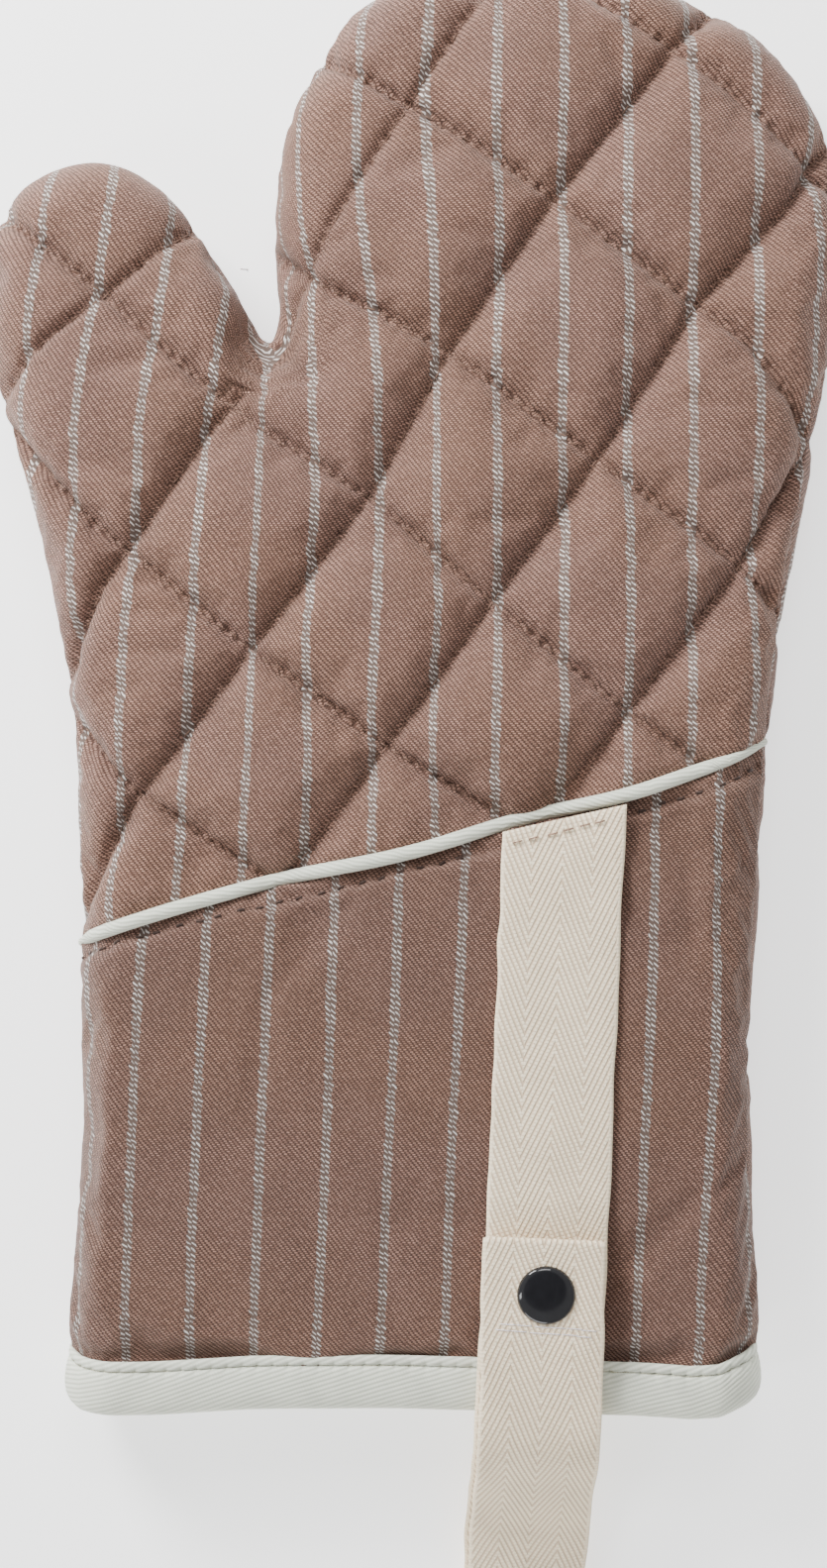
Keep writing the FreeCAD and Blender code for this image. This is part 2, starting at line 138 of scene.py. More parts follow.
# ---- quilting lines
# Stitch lines of the front, in cloth position, with how deep each one is drawn in.
FRONT_QUILTING = [
    (0.45, [(-100.0, 208.0), (-73.7, 228.8), (-56.1, 242.8), (-36.0, 259.0)]),
    (1.0, [(-86.0, 146.0), (-59.2, 183.8), (-42.1, 208.3), (-35.6, 215.6), (-30.6, 224.5)]),
    (1.0, [(-82.0, 98.0), (-57.2, 131.4), (-34.0, 161.7), (-9.1, 193.7), (7.4, 224.0), (29.1, 255.6),
           (42.5, 272.3), (56.3, 289.9), (70.0, 308.0)]),
    (1.0, [(-37.0, 98.0), (-22.9, 118.2), (-5.6, 141.5), (16.7, 171.6), (38.6, 201.5), (59.4, 233.9),
           (68.7, 243.8), (83.4, 259.9), (104.0, 283.0)]),
    (1.0, [(17.0, 109.0), (31.4, 129.5), (45.0, 148.7), (68.9, 179.3), (80.1, 193.7), (98.0, 217.0)]),
    (0.4, [(-40.0, 215.0), (-20.0, 245.3), (-6.8, 266.7), (8.7, 289.9), (22.0, 312.0)]),
    (0.8, [(-106.0, 268.0), (-84.0, 250.9), (-66.2, 237.7), (-49.1, 222.0), (-32.0, 208.1),
           (-9.1, 193.7), (16.7, 171.6), (45.0, 148.7), (62.0, 136.5), (80.0, 124.0)]),
    (0.9, [(-100.0, 214.0), (-76.1, 196.0), (-61.7, 183.8), (-34.0, 161.7), (-5.6, 141.5), (15.1, 128.7),
           (40.0, 112.0)]),
    (0.8, [(-92.0, 156.0), (-69.5, 141.3), (-57.8, 131.6), (-33.4, 115.7), (-10.0, 99.0)]),
    (0.8, [(-37.0, 246.7), (-24.6, 240.7), (-6.0, 231.9), (7.4, 224.0), (38.6, 201.5), (68.9, 179.3),
           (95.0, 158.0)]),
    (0.75, [(-40.0, 300.0), (-16.3, 284.9), (10.9, 268.8), (29.9, 256.0), (59.4, 233.9), (70.2, 226.1),
            (80.3, 213.7), (98.0, 194.0)]),
    (0.7, [(28.0, 308.0), (46.4, 293.8), (60.3, 283.9), (82.5, 265.3), (106.0, 248.0)]),
]


def straight_family(angle, first, step, count, reach=420.0):
    """Parallel straight stitch lines."""
    direction = unit(angle)
    lines = []
    for index in range(count):
        middle = np.array(first) + np.array(step) * index
        lines.append((0.9, [tuple(middle - direction * reach), tuple(middle + direction * reach)]))
    return lines


BACK_QUILTING = (straight_family(-37.4, (0.0, -4.0), (0.0, 47.1), 8)
                 + straight_family(53.7, (-141.4, 193.7), (44.2, 0.0), 9))

# Folds where the cloth is pinched at the foot of the thumb; they carry no stitches.
PINCHES = [
    (0.9, [(-30.6, 227.5), (-28.1, 225.0), (-25.4, 222.4), (-22.6, 219.0)]),
    (0.4, [(-33.0, 216.0), (-36.0, 208.0)]),
]

PIPING_LINE = [(-83.0, 98.7), (-67.9, 102.7), (-50.1, 107.7), (-31.6, 111.8), (-16.9, 115.5),
               (0.6, 119.8), (19.0, 124.6), (32.0, 127.5), (43.9, 130.8), (55.7, 134.7), (70.2, 139.4),
               (83.0, 143.7)]


def path_lengths(points):
    return np.concatenate([[0], np.cumsum(np.linalg.norm(np.diff(points, axis=0), axis=1))])


def soften(points, passes, columns=slice(None)):
    """Smooths a row of points in place, ends held."""
    for _ in range(passes):
        points[1:-1, columns] = (0.5 * points[1:-1, columns]
                                 + 0.25 * (points[:-2, columns] + points[2:, columns]))


def along_rows(at, lengths, rows):
    """Each column of rows read off at the given lengths."""
    return np.column_stack([np.interp(at, lengths, column) for column in rows.T])


def resample(points, spacing):
    points = np.array(points, float)
    lengths = path_lengths(points)
    count = max(2, int(round(lengths[-1] / spacing)) + 1)
    at = np.linspace(0, lengths[-1], count)
    return along_rows(at, lengths, points)


def rounded(points, spacing, passes=6):
    """The polyline resampled, with its corners softened."""
    points = resample(points, spacing)
    soften(points, passes)
    return points


def flat_tree(points):
    """Lookup tree over points in the plane."""
    tree = KDTree(len(points))
    for k, (x, y) in enumerate(points):
        tree.insert((x, y, 0.0), k)
    tree.balance()
    return tree


def nearest(points, line):
    """Distance of each point from a dense row of points, and the nearest one's index."""
    tree = flat_tree(line)
    found = [tree.find((x, y, 0.0))[1:] for x, y in points]
    index, distance = np.array(found).T
    return distance, index.astype(int)


def inside(points, polygon):
    x, y = points[:, 0], points[:, 1]
    result = np.zeros(len(points), bool)
    px, py = polygon[:, 0], polygon[:, 1]
    qx, qy = np.roll(px, -1), np.roll(py, -1)
    for ax, ay, bx, by in zip(px, py, qx, qy):
        crosses = (ay > y) != (by > y)
        if abs(by - ay) > 1e-12:
            result ^= crosses & (x < (bx - ax) * (y - ay) / (by - ay) + ax)
    return result


def from_segments(points, line):
    """For each straight run of a line: its direction and each point's offset from it."""
    for start, end in zip(line[:-1], line[1:]):
        along = end - start
        t = np.clip(((points - start) @ along) / along.dot(along), 0, 1)
        yield along, points - start - t[:, None] * along


def ripple(points, wavelength, seed, waves=14):
    """Smooth random relief, about -1 to 1, from a few crossing waves."""
    random = np.random.default_rng(seed)
    total = np.zeros(len(points))
    for _ in range(waves):
        size = 2 * math.pi / (wavelength * random.uniform(0.7, 1.5))
        angle = random.uniform(0, 2 * math.pi)
        total += np.cos(points[:, 0] * size * math.cos(angle)
                        + points[:, 1] * size * math.sin(angle) + random.uniform(0, 2 * math.pi))
    return total / math.sqrt(waves / 2) * 0.6


def run_ripple(run, wavelength, seed):
    """The same kind of relief along a single line."""
    return ripple(np.column_stack([run, np.zeros(len(run))]), wavelength, seed)


def smoothstep(low, high, value):
    t = np.clip((value - low) / (high - low), 0, 1)
    return t * t * (3 - 2 * t)


# ---- padded panels
def seam_angle(points):
    """How far round the edge the side seam sits: the right one shows from above."""
    right = smoothstep(60, 72, points[:, 0]) * smoothstep(20, 60, points[:, 1])
    right *= 1 - smoothstep(262, 285, points[:, 1])
    return np.radians(4.0 + 20.0 * right)


def panel_edge(spacing):
    """The outline as cut: let out a little at the sides and drawn into a V at the fork."""
    edge, normal = smooth_outline(spacing)
    x, y = edge.T
    # The right side bulges a little more, and near the fork nothing is let out.
    right = smoothstep(60, 72, x) * smoothstep(95, 135, y) * (1 - smoothstep(235, 265, y))
    grow = 1.3 * smoothstep(8, 25, y) * (1 - smoothstep(246, 282, y)) + 0.9 * right
    fork = np.hypot(x - FORK[0], y - FORK[1])
    grow *= 1 - np.exp(-(fork / 9) ** 2)
    tighten = np.column_stack([0.5 - 1.4 * np.tanh((x - FORK[0]) / 1.5), np.full(len(x), -1.5)])
    return edge + normal * grow[:, None] + np.exp(-(fork / 5.0) ** 2)[:, None] * tighten, normal


def stitch_nodes(lines, boundary, dense, front, spacing):
    """Mesh points along the stitch lines inside the boundary, and the links between them."""
    rows, links = [], []
    total = len(boundary)
    for _, corners in lines:
        path = rounded(corners, spacing, 8) if front else resample(corners, spacing)
        keep = inside(path, boundary) & (nearest(path, dense)[0] > 0.45 * spacing)
        chosen = np.flatnonzero(keep)
        joins = np.flatnonzero(np.diff(chosen) == 1)
        links += [(total + k, total + k + 1) for k in joins]
        total += len(chosen)
        rows.append(path[keep])
    return rows, links


def fill_points(boundary, crowd, spacing):
    """Loose triangular grid inside the boundary, clear of the points in crowd."""
    low, high = boundary.min(axis=0), boundary.max(axis=0)
    grid = []
    for j, y in enumerate(np.arange(low[1], high[1], spacing * 0.866)):
        xs = np.arange(low[0] + (j % 2) * spacing / 2, high[0], spacing)
        grid.append(np.column_stack([xs, np.full(len(xs), y)]))
    grid = np.concatenate(grid)
    grid += rng.uniform(-0.12, 0.12, grid.shape) * spacing
    grid = grid[inside(grid, boundary)]
    return grid[nearest(grid, crowd)[0] > 0.62 * spacing]


def edge_rings(edge, normal, inner, side, rings):
    """Rings of points that carry the panel from the side seam up to its level middle."""
    start_angle = seam_angle(edge) + (0 if side > 0 else math.radians(2))
    places, cloth, outward = [], [], []
    for t in np.linspace(0, 1, rings + 1)[:-1]:
        angle = start_angle + (math.pi / 2 * side - start_angle) * t
        places.append(np.column_stack([edge - normal * (EDGE_R * (1 - np.cos(angle)))[:, None],
                                       SEAM_Z + HALF * np.sin(angle)]))
        arc = EDGE_R * (math.pi / 2 - angle * side)
        cloth.append(inner + normal * arc[:, None])
        outward.append(np.column_stack([normal * np.cos(angle)[:, None], np.sin(angle)]))
    return places, cloth, outward


def build_panel(front, spacing, lines, rings):
    """Triangulated front or back of the mitt, with its flat-cloth coordinates."""
    side = 1 if front else -1
    edge, normal = panel_edge(spacing)
    count = len(edge)
    inner = edge - normal * EDGE_R
    hem = np.linspace(inner[-1], inner[0], int(np.linalg.norm(inner[-1] - inner[0]) / spacing) + 1)[1:-1]
    boundary = np.concatenate([inner, hem])
    dense = resample(np.concatenate([boundary, boundary[:1]]), spacing / 2)
    stitched_rows, stitch_links = stitch_nodes(lines, boundary, dense, front, spacing)
    links = [(k, (k + 1) % len(boundary)) for k in range(len(boundary))] + stitch_links
    grid = fill_points(boundary, np.concatenate([dense] + stitched_rows), spacing)
    flat = np.concatenate([boundary] + stitched_rows + [grid])
    verts, _, faces, origin, _, _ = delaunay_2d_cdt(
        [Vector(p) for p in flat], links, [], 1, 1e-4, True)
    inner_points = np.array([tuple(v) for v in verts])
    middles = np.array([inner_points[list(face)].mean(axis=0) for face in faces])
    faces = [face for face, kept in zip(faces, inside(middles, boundary)) if kept]
    where = {source: index for index, sources in enumerate(origin) for source in sources}
    places, cloth, outward = edge_rings(edge, normal, inner, side, rings)
    base = rings * count
    places.append(np.column_stack([inner_points, np.full(len(inner_points), SEAM_Z + HALF * side)]))
    cloth.append(inner_points)
    outward.append(np.tile([0.0, 0.0, float(side)], (len(inner_points), 1)))
    places, cloth, outward = (np.concatenate(parts) for parts in (places, cloth, outward))
    triangles = []
    for k in range(rings):
        for i in range(count - 1):
            a, b = k * count + i, k * count + i + 1
            if k + 1 < rings:
                c, d = a + count, b + count
            else:
                c, d = base + where[i], base + where[i + 1]
            triangles += [(a, b, d), (a, d, c)] if (i + k) % 2 else [(a, b, c), (b, d, c)]
    triangles = np.array(triangles + [tuple(base + v for v in face) for face in faces])
    a, b, c = (places[triangles[:, k]] for k in range(3))
    facing = np.einsum("ij,ij->i", np.cross(b - a, c - a), outward[triangles[:, 0]])
    triangles[facing < 0] = triangles[facing < 0][:, ::-1]
    arc = np.full(len(places), 1e3)
    arc[:base] = np.repeat(EDGE_R * math.pi / 2 * np.linspace(0, 1, rings + 1)[:-1], count)
    depth_in = np.zeros(len(places))
    depth_in[base:] = nearest(inner_points, dense)[0]
    return {"place": places, "cloth": cloth, "outward": outward, "faces": triangles,
            "seam": np.arange(len(places)) < count, "seam_arc": arc, "depth_in": depth_in,
            "spacing": spacing, "front": front}


GROOVE = 4.3                    # how far a full-depth stitch line is pulled in
GROOVE_WIDTH = 3.2
PUFF_CAP = 1.3                  # furthest the simulated cloth may leave its first shape


def quilt_field(panel, lines):
    """Distance to the nearest stitch line and how deep it is drawn in there."""
    cloth = panel["cloth"]
    near = np.full(len(cloth), 1e9)
    pull = np.zeros(len(cloth))
    left = np.ones(len(cloth))
    for depth, corners in lines:
        path = rounded(corners, panel["spacing"], 8) if panel["front"] else np.array(corners)
        best = np.full(len(cloth), 1e9)
        for _, offset in from_segments(cloth, path):
            best = np.minimum(best, np.linalg.norm(offset, axis=1))
        closer = best < near
        near[closer], pull[closer] = best[closer], depth
        left *= 1 - depth * np.exp(-best / GROOVE_WIDTH)
    return near, pull, 1 - left


def first_shape(panel, near, field, crown):
    """The panel before simulation: domed, drawn in along its stitch lines."""
    place, cloth, arc = panel["place"], panel["cloth"], panel["seam_arc"]
    pucker = ripple(cloth, 7.0, 11) * np.exp(-near / 3.5) * 0.3 * np.minimum(1, near / 0.8)
    soft = ripple(cloth, 26.0, 12) * 0.35 * np.minimum(1, near / 4)
    drop = (GROOVE * field - crown - pucker - soft) * smoothstep(0, 7, arc)
    scallop = 0.35 * ripple(place[:, :2], 17.0, 13) + 0.22 * ripple(place[:, :2], 5.0, 14)
    drop += (1.2 + scallop) * np.exp(-arc / 2.0) + (0.0 if panel["front"] else 0.25) * (arc < 0.1)
    drop += 0.25 * ripple(cloth, 5.5, 15) * np.exp(-arc / 4.0) * np.minimum(1, arc / 2)
    return place - panel["outward"] * drop[:, None]


def make_mesh(name, points, faces, layers=(), scale=MM):
    """Mesh in metres from millimetre points. layers are (uv name, per-vertex uv)."""
    mesh = bpy.data.meshes.new(name)
    mesh.from_pydata([tuple(p) for p in np.asarray(points) * scale], [], [tuple(f) for f in faces])
    mesh.update()
    corner = np.zeros(len(mesh.loops), int)
    mesh.loops.foreach_get("vertex_index", corner)
    for layer, values in layers:
        uv = mesh.uv_layers.new(name=layer)
        uv.data.foreach_set("uv", np.asarray(values, float)[corner].ravel())
    mesh.polygons.foreach_set("use_smooth", np.ones(len(mesh.polygons), bool))
    obj = bpy.data.objects.new(name, mesh)
    bpy.context.scene.collection.objects.link(obj)
    return obj


def thicken(piece, thickness):
    """Gives a sheet its thickness in millimetres, inwards from its faces."""
    wall = piece.modifiers.new("wall", "SOLIDIFY")
    wall.thickness = thickness * MM
    wall.offset = -1


def coordinates(mesh):
    values = np.zeros(len(mesh.vertices) * 3)
    mesh.vertices.foreach_get("co", values)
    return values.reshape(-1, 3)


SIM_SCALE = 10.0                # the cloth solver is steadier on a larger copy
SIM_FRAMES = 22
CLOTH_SETTINGS = {
    "quality": 6, "mass": 0.3, "air_damping": 4.0,
    "tension_stiffness": 25, "compression_stiffness": 25, "shear_stiffness": 8, "bending_stiffness": 0.6,
    "tension_damping": 12, "compression_damping": 12, "shear_damping": 8, "bending_damping": 1.0,
    "vertex_group_mass": "pins", "use_pressure": True, "vertex_group_pressure": "push",
}


def simulate(points, faces, pinned, pressure_share, slack, pressure):
    """Cloth relaxed under a little inner pressure, held along its stitching."""
    obj = make_mesh("sim", points, faces, scale=MM * SIM_SCALE)
    mesh = obj.data
    pins = obj.vertex_groups.new(name="pins")
    pins.add([int(k) for k in np.flatnonzero(pinned)], 1.0, "REPLACE")
    push = obj.vertex_groups.new(name="push")
    for level in np.unique(pressure_share):
        push.add([int(k) for k in np.flatnonzero(pressure_share == level)], float(level), "REPLACE")
    modifier = obj.modifiers.new("cloth", "CLOTH")
    cloth = modifier.settings
    for key, value in CLOTH_SETTINGS.items():
        setattr(cloth, key, value)
    cloth.shrink_min = cloth.shrink_max = -slack
    cloth.uniform_pressure_force = pressure
    cloth.effector_weights.gravity = 0.0
    modifier.collision_settings.use_collision = False
    modifier.collision_settings.use_self_collision = False
    scene = bpy.context.scene
    modifier.point_cache.frame_start = 1
    modifier.point_cache.frame_end = SIM_FRAMES
    for frame_number in range(1, SIM_FRAMES + 1):
        scene.frame_set(frame_number)
    settled = obj.evaluated_get(bpy.context.evaluated_depsgraph_get())
    result = coordinates(settled.to_mesh()) / (MM * SIM_SCALE)
    settled.to_mesh_clear()
    scene.frame_set(1)
    bpy.data.objects.remove(obj)
    bpy.data.meshes.remove(mesh)
    moved = result - points
    length = np.linalg.norm(moved, axis=1)
    length[length < 1e-9] = 1e-9
    moved *= np.minimum(1, PUFF_CAP / length)[:, None]
    return points + np.where(pinned[:, None], 0, moved)


# ---- helpers for built meshes
def grid_faces(rows, columns, close_columns=False):
    """Four-sided faces over rows of points."""
    faces = []
    for i in range(rows - 1):
        for j in range(columns if close_columns else columns - 1):
            a, b = i * columns + j, i * columns + (j + 1) % columns
            faces.append((a, b, b + columns, a + columns))
    return faces


def end_caps(rows, ring):
    """The two faces that close a tube of rows rings."""
    return [tuple(range(ring - 1, -1, -1)), tuple((rows - 1) * ring + v for v in range(ring))]


def normals_of(points, faces):
    total = np.zeros_like(points)
    a, b, c = (points[faces[:, k]] for k in range(3))
    flat = np.cross(b - a, c - a)
    for k in range(3):
        np.add.at(total, faces[:, k], flat)
    return unit_rows(total)


class Surface:
    """Looks up the place and outward direction at a cloth position of a panel."""

    def __init__(self, cloth, points, faces):
        self.cloth, self.points, self.normals = cloth, points, normals_of(points, faces)
        self.tree = flat_tree(cloth)

    def at(self, line):
        """(kept line points, places, normals) for those points that lie on the cloth."""
        kept, places, normals = [], [], []
        for x, y in line:
            found = self.tree.find_n((x, y, 0.0), 5)
            if found[0][2] > 1.6:
                continue
            near = [item[1] for item in found]
            weight = np.array([1 / (item[2] ** 2 + 0.02) for item in found])
            weight /= weight.sum()
            kept.append((x, y))
            places.append(weight @ self.points[near])
            normals.append(weight @ self.normals[near])
        return np.array(kept), np.array(places), unit_rows(np.array(normals))


def refine(points, faces, cloth):
    """One step of Loop subdivision. Edges of the sheet keep their line."""
    pairs = np.sort(np.concatenate([faces[:, [0, 1]], faces[:, [1, 2]], faces[:, [2, 0]]]), axis=1)
    edges, where, uses = np.unique(pairs, axis=0, return_inverse=True, return_counts=True)
    where = where.ravel()
    opposite = np.zeros((len(edges), 3))
    np.add.at(opposite, where, points[np.concatenate([faces[:, 2], faces[:, 0], faces[:, 1]])])
    ends = points[edges[:, 0]] + points[edges[:, 1]]
    border = uses == 1
    middle = np.where(border[:, None], ends / 2, ends * 0.375 + opposite * 0.125)
    count, around = np.zeros(len(points)), np.zeros_like(points)
    for a, b in ((0, 1), (1, 0)):
        np.add.at(count, edges[:, a], 1)
        np.add.at(around, edges[:, a], points[edges[:, b]])
    moved = points * 0.625 + around / np.maximum(count, 1)[:, None] * 0.375
    held = np.zeros(len(points), bool)
    held[edges[border].ravel()] = True
    moved[held] = points[held]
    n, f = len(points), len(faces)
    ab, bc, ca = n + where[:f], n + where[f:2 * f], n + where[2 * f:]
    sides = np.concatenate([faces[:, [0, 1]], faces[:, [1, 2]], faces[:, [2, 0]]])
    rim = np.column_stack([sides, n + where])[border[where]]
    a, b, c = faces.T
    finer = np.concatenate([np.stack(t, axis=1) for t in
                            ((a, ab, ca), (ab, b, bc), (ca, bc, c), (ab, bc, ca))])
    cloth = np.concatenate([cloth, (cloth[edges[:, 0]] + cloth[edges[:, 1]]) / 2])
    return np.concatenate([moved, middle]), finer, cloth, rim


def rings_along(centre, across, above, turn, radius):
    """Rings of points round each centre point, in the plane of across and above."""
    ring = (across[:, None, :] * np.cos(turn)[None, :, None]
            + above[:, None, :] * np.sin(turn)[None, :, None]) * radius
    return (centre[:, None, :] + ring).reshape(-1, 3)


def tube(name, centre, radius, sides, up):
    """Round cord along centre points; radius varies along it."""
    tangent = unit_rows(np.gradient(centre, axis=0))
    across = unit_rows(np.cross(tangent, up))
    turn = np.linspace(0, 2 * math.pi, sides + 1)
    points = rings_along(centre, across, np.cross(across, tangent), turn, radius[:, None, None])
    uv = np.stack(np.broadcast_arrays(path_lengths(centre)[:, None] / 100,
                                      (turn * radius.mean())[None, :] / 100), axis=2).reshape(-1, 2)
    return make_mesh(name, points, grid_faces(len(centre), sides + 1), [("cloth", uv)])


def stitch_row(name, places, normals, pitch, share, radius, sink=0.15, lift=0.28, wander=0.12):
    """Separate stitches along a line on a surface: one each pitch, of which the thread shows
    over the given share."""
    length = path_lengths(places)
    starts = np.arange(pitch * 0.4, length[-1] - pitch, pitch)
    points, faces = [], []
    bend = np.array([0.0, 0.75, 1.0, 0.75, 0.0])
    turn = np.arange(6) * math.pi / 3
    random = np.random.default_rng(len(starts))
    for start in starts:
        along = start + random.uniform(-0.1, 0.1) * pitch + np.linspace(0, pitch * share, 5)
        p, n = along_rows(along, length, places), along_rows(along, length, normals)
        side = np.cross(unit_rows(np.gradient(p, axis=0)), n)
        p = p + n * (lift * bend - sink)[:, None] + side * random.uniform(-wander, wander)
        base = len(points) * 30
        points.append(rings_along(p, side, n, turn, radius))
        faces += [tuple(base + v for v in f)
                  for f in grid_faces(5, 6, close_columns=True) + end_caps(5, 6)]
    return make_mesh(name, np.concatenate(points), faces)


def joined(name, objects):
    """One object from several that share a material later on."""
    bpy.ops.object.select_all(action="DESELECT")
    for item in objects:
        item.select_set(True)
    bpy.context.view_layer.objects.active = objects[0]
    bpy.ops.object.join()
    objects[0].name = name
    return objects[0]


# ---- cloth position to woven pattern
STRIPE_PITCH = 13.56
CUFF_PITCH = 13.25              # the cuff's stripes are a little closer and lean
CUFF_LEAN = 0.044
CUFF_STRIPE = (-56.1, 102.9)    # a stripe of the cuff passes through here
HAND_STRIPE = 17.7              # and a stripe of the hand is this far right of the middle
FIRST_STRIPE = STRIPE_PITCH * 20    # added so that woven positions are never negative
# How far the hand's cloth is dragged right: heights, then distances.
THUMB_DRAG = ([105, 120, 150, 181, 208, 238, 252, 262], [0, 1, 3, 4.9, 6.6, 11.8, 13.4, 14.3])
HAND_DRAG = ([105, 150, 181, 197, 215, 235, 265, 300], [0, 1, 1.8, 2.7, 2.2, 0.8, -2.4, -1.5])


def hand_weave(cloth):
    """Woven position of the front's cloth, which is dragged sideways at the thumb."""
    x, y = cloth[:, 0], cloth[:, 1]
    thumb = 1 - smoothstep(-38, -22, x)
    hand = smoothstep(-34, -24, x) * (1 - smoothstep(-8, 14, x))
    drag = thumb * np.interp(y, *THUMB_DRAG) + hand * np.interp(y, *HAND_DRAG)
    wobble = ripple(cloth, 45.0, 21) * 0.35
    return np.column_stack([x - drag - HAND_STRIPE + FIRST_STRIPE + wobble, y]) / 100


def cuff_weave(cloth):
    x, y = cloth[:, 0], cloth[:, 1]
    wobble = ripple(cloth, 60.0, 22) * 0.35
    across = x - CUFF_LEAN * (y - CUFF_STRIPE[1]) - CUFF_STRIPE[0] + wobble
    return np.column_stack([across * STRIPE_PITCH / CUFF_PITCH + FIRST_STRIPE, y + CUFF_LEAN * x]) / 100


def back_weave(cloth):
    return (cloth + [FIRST_STRIPE + 4.0, 0.0]) / 100


# ---- materials
class Value:
    """A node's output that can be used in sums and products like a number."""

    def __init__(self, shader, socket):
        self.shader, self.socket = shader, socket

    def __rsub__(self, number):
        return self.shader.math("SUBTRACT", number, self)

    def off_centre(self):
        """How far the fractional part is from one half: 0 in a yarn's middle, 0.5 at its edge."""
        return abs(self.fract() - 0.5)


for method, operation in (("__add__", "ADD"), ("__sub__", "SUBTRACT"), ("__mul__", "MULTIPLY"),
                          ("__truediv__", "DIVIDE"), ("__pow__", "POWER"), ("__abs__", "ABSOLUTE"),
                          ("floor", "FLOOR"), ("fract", "FRACT")):
    setattr(Value, method, lambda self, *others, operation=operation:
            self.shader.math(operation, self, *others))


class Shader:
    """Writes a node material as expressions. u and v are in millimetres of cloth."""

    def __init__(self, name, uv=None):
        self.material = bpy.data.materials.new(name)
        self.material.use_nodes = True
        self.tree = self.material.node_tree
        self.bsdf = self.tree.nodes["Principled BSDF"]
        if uv:
            self.flat, u, v = self.layer(uv)
            self.u, self.v = u * 100.0, v * 100.0

    def add(self, kind, values=(), **settings):
        node = self.tree.nodes.new(kind)
        for key, value in settings.items():
            setattr(node, key, value)
        for socket, value in zip(node.inputs, values):
            self.put(socket, value)
        return node

    def put(self, socket, value):
        """Links a socket or sets its value; a three-part colour gets its alpha."""
        value = value.socket if isinstance(value, Value) else value
        if isinstance(value, bpy.types.NodeSocket):
            self.tree.links.new(value, socket)
        elif value is not None:
            is_colour = socket.type == "RGBA" and len(value) == 3
            socket.default_value = (*value, 1.0) if is_colour else value

    def value(self, kind, values, **settings):
        return Value(self, self.add(kind, values, **settings).outputs[0])

    def math(self, operation, *values):
        return self.value("ShaderNodeMath", values, operation=operation)

    def layer(self, name):
        """A uv layer's coordinates: both together, then each on its own."""
        flat = self.add("ShaderNodeUVMap", uv_map=name).outputs[0]
        parts = self.add("ShaderNodeSeparateXYZ", [flat]).outputs
        return flat, Value(self, parts[0]), Value(self, parts[1])

    def ramp(self, value, low, high, start=0.0, end=1.0):
        return self.value("ShaderNodeMapRange", [value, low, high, start, end],
                          interpolation_type="SMOOTHSTEP")

    def mix(self, factor, first, second, blend="MIX"):
        node = self.add("ShaderNodeMix", data_type="RGBA", blend_type=blend)
        for number, value in ((0, factor), (6, first), (7, second)):
            self.put(node.inputs[number], value)
        return node.outputs[2]

    def noise(self, vector, scale, detail=2.0):
        return self.value("ShaderNodeTexNoise", [vector, None, scale, detail, 0.5])

    def uneven(self, noise, low, high):
        """A noise spread over low to high."""
        return self.ramp(noise, 0.3, 0.7, low, high)

    def stretched(self, vector, scales):
        return self.add("ShaderNodeMapping", [vector, None, None, scales]).outputs[0]

    def chance(self, number):
        """Even random value for each whole number."""
        return self.value("ShaderNodeTexWhiteNoise", [None, number], noise_dimensions="1D")

    def tone(self, colour, amount):
        """The colour made lighter or darker by a factor."""
        node = self.add("ShaderNodeVectorMath", [colour], operation="SCALE")
        self.put(node.inputs["Scale"], amount)
        return node.outputs[0]

    def wave(self, value, period):
        """0 to 1 to 0 over each period, rounded like yarn."""
        return self.math("COSINE", value * (2 * math.pi / period)) * 0.5 + 0.5

    def finish(self, colour, roughness, height=None, relief=0.1, sheen=0.0, metallic=0.0,
               tint=(1.0, 1.0, 1.0), glow=0.0):
        looks = {"Base Color": colour, "Roughness": roughness, "Metallic": metallic,
                 "Sheen Weight": sheen, "Sheen Roughness": 0.5, "Sheen Tint": tint,
                 "Specular IOR Level": 0.25 if sheen else 0.5,
                 "Emission Color": (1.0, 1.0, 1.0), "Emission Strength": glow}
        if height is not None:
            bump = self.add("ShaderNodeBump")
            for key, value in (("Strength", 1.0), ("Distance", relief * MM), ("Height", height)):
                self.put(bump.inputs[key], value)
            looks["Normal"] = bump.outputs[0]
        for key, value in looks.items():
            self.put(self.bsdf.inputs[key], value)
        return self.material


BROWN_FLOAT = (0.440, 0.252, 0.187)
BROWN_GAP = (0.080, 0.039, 0.027)
STRIPE_WHITE = (0.97, 0.90, 0.855)
STRIPE_GREY = (0.122, 0.084, 0.068)


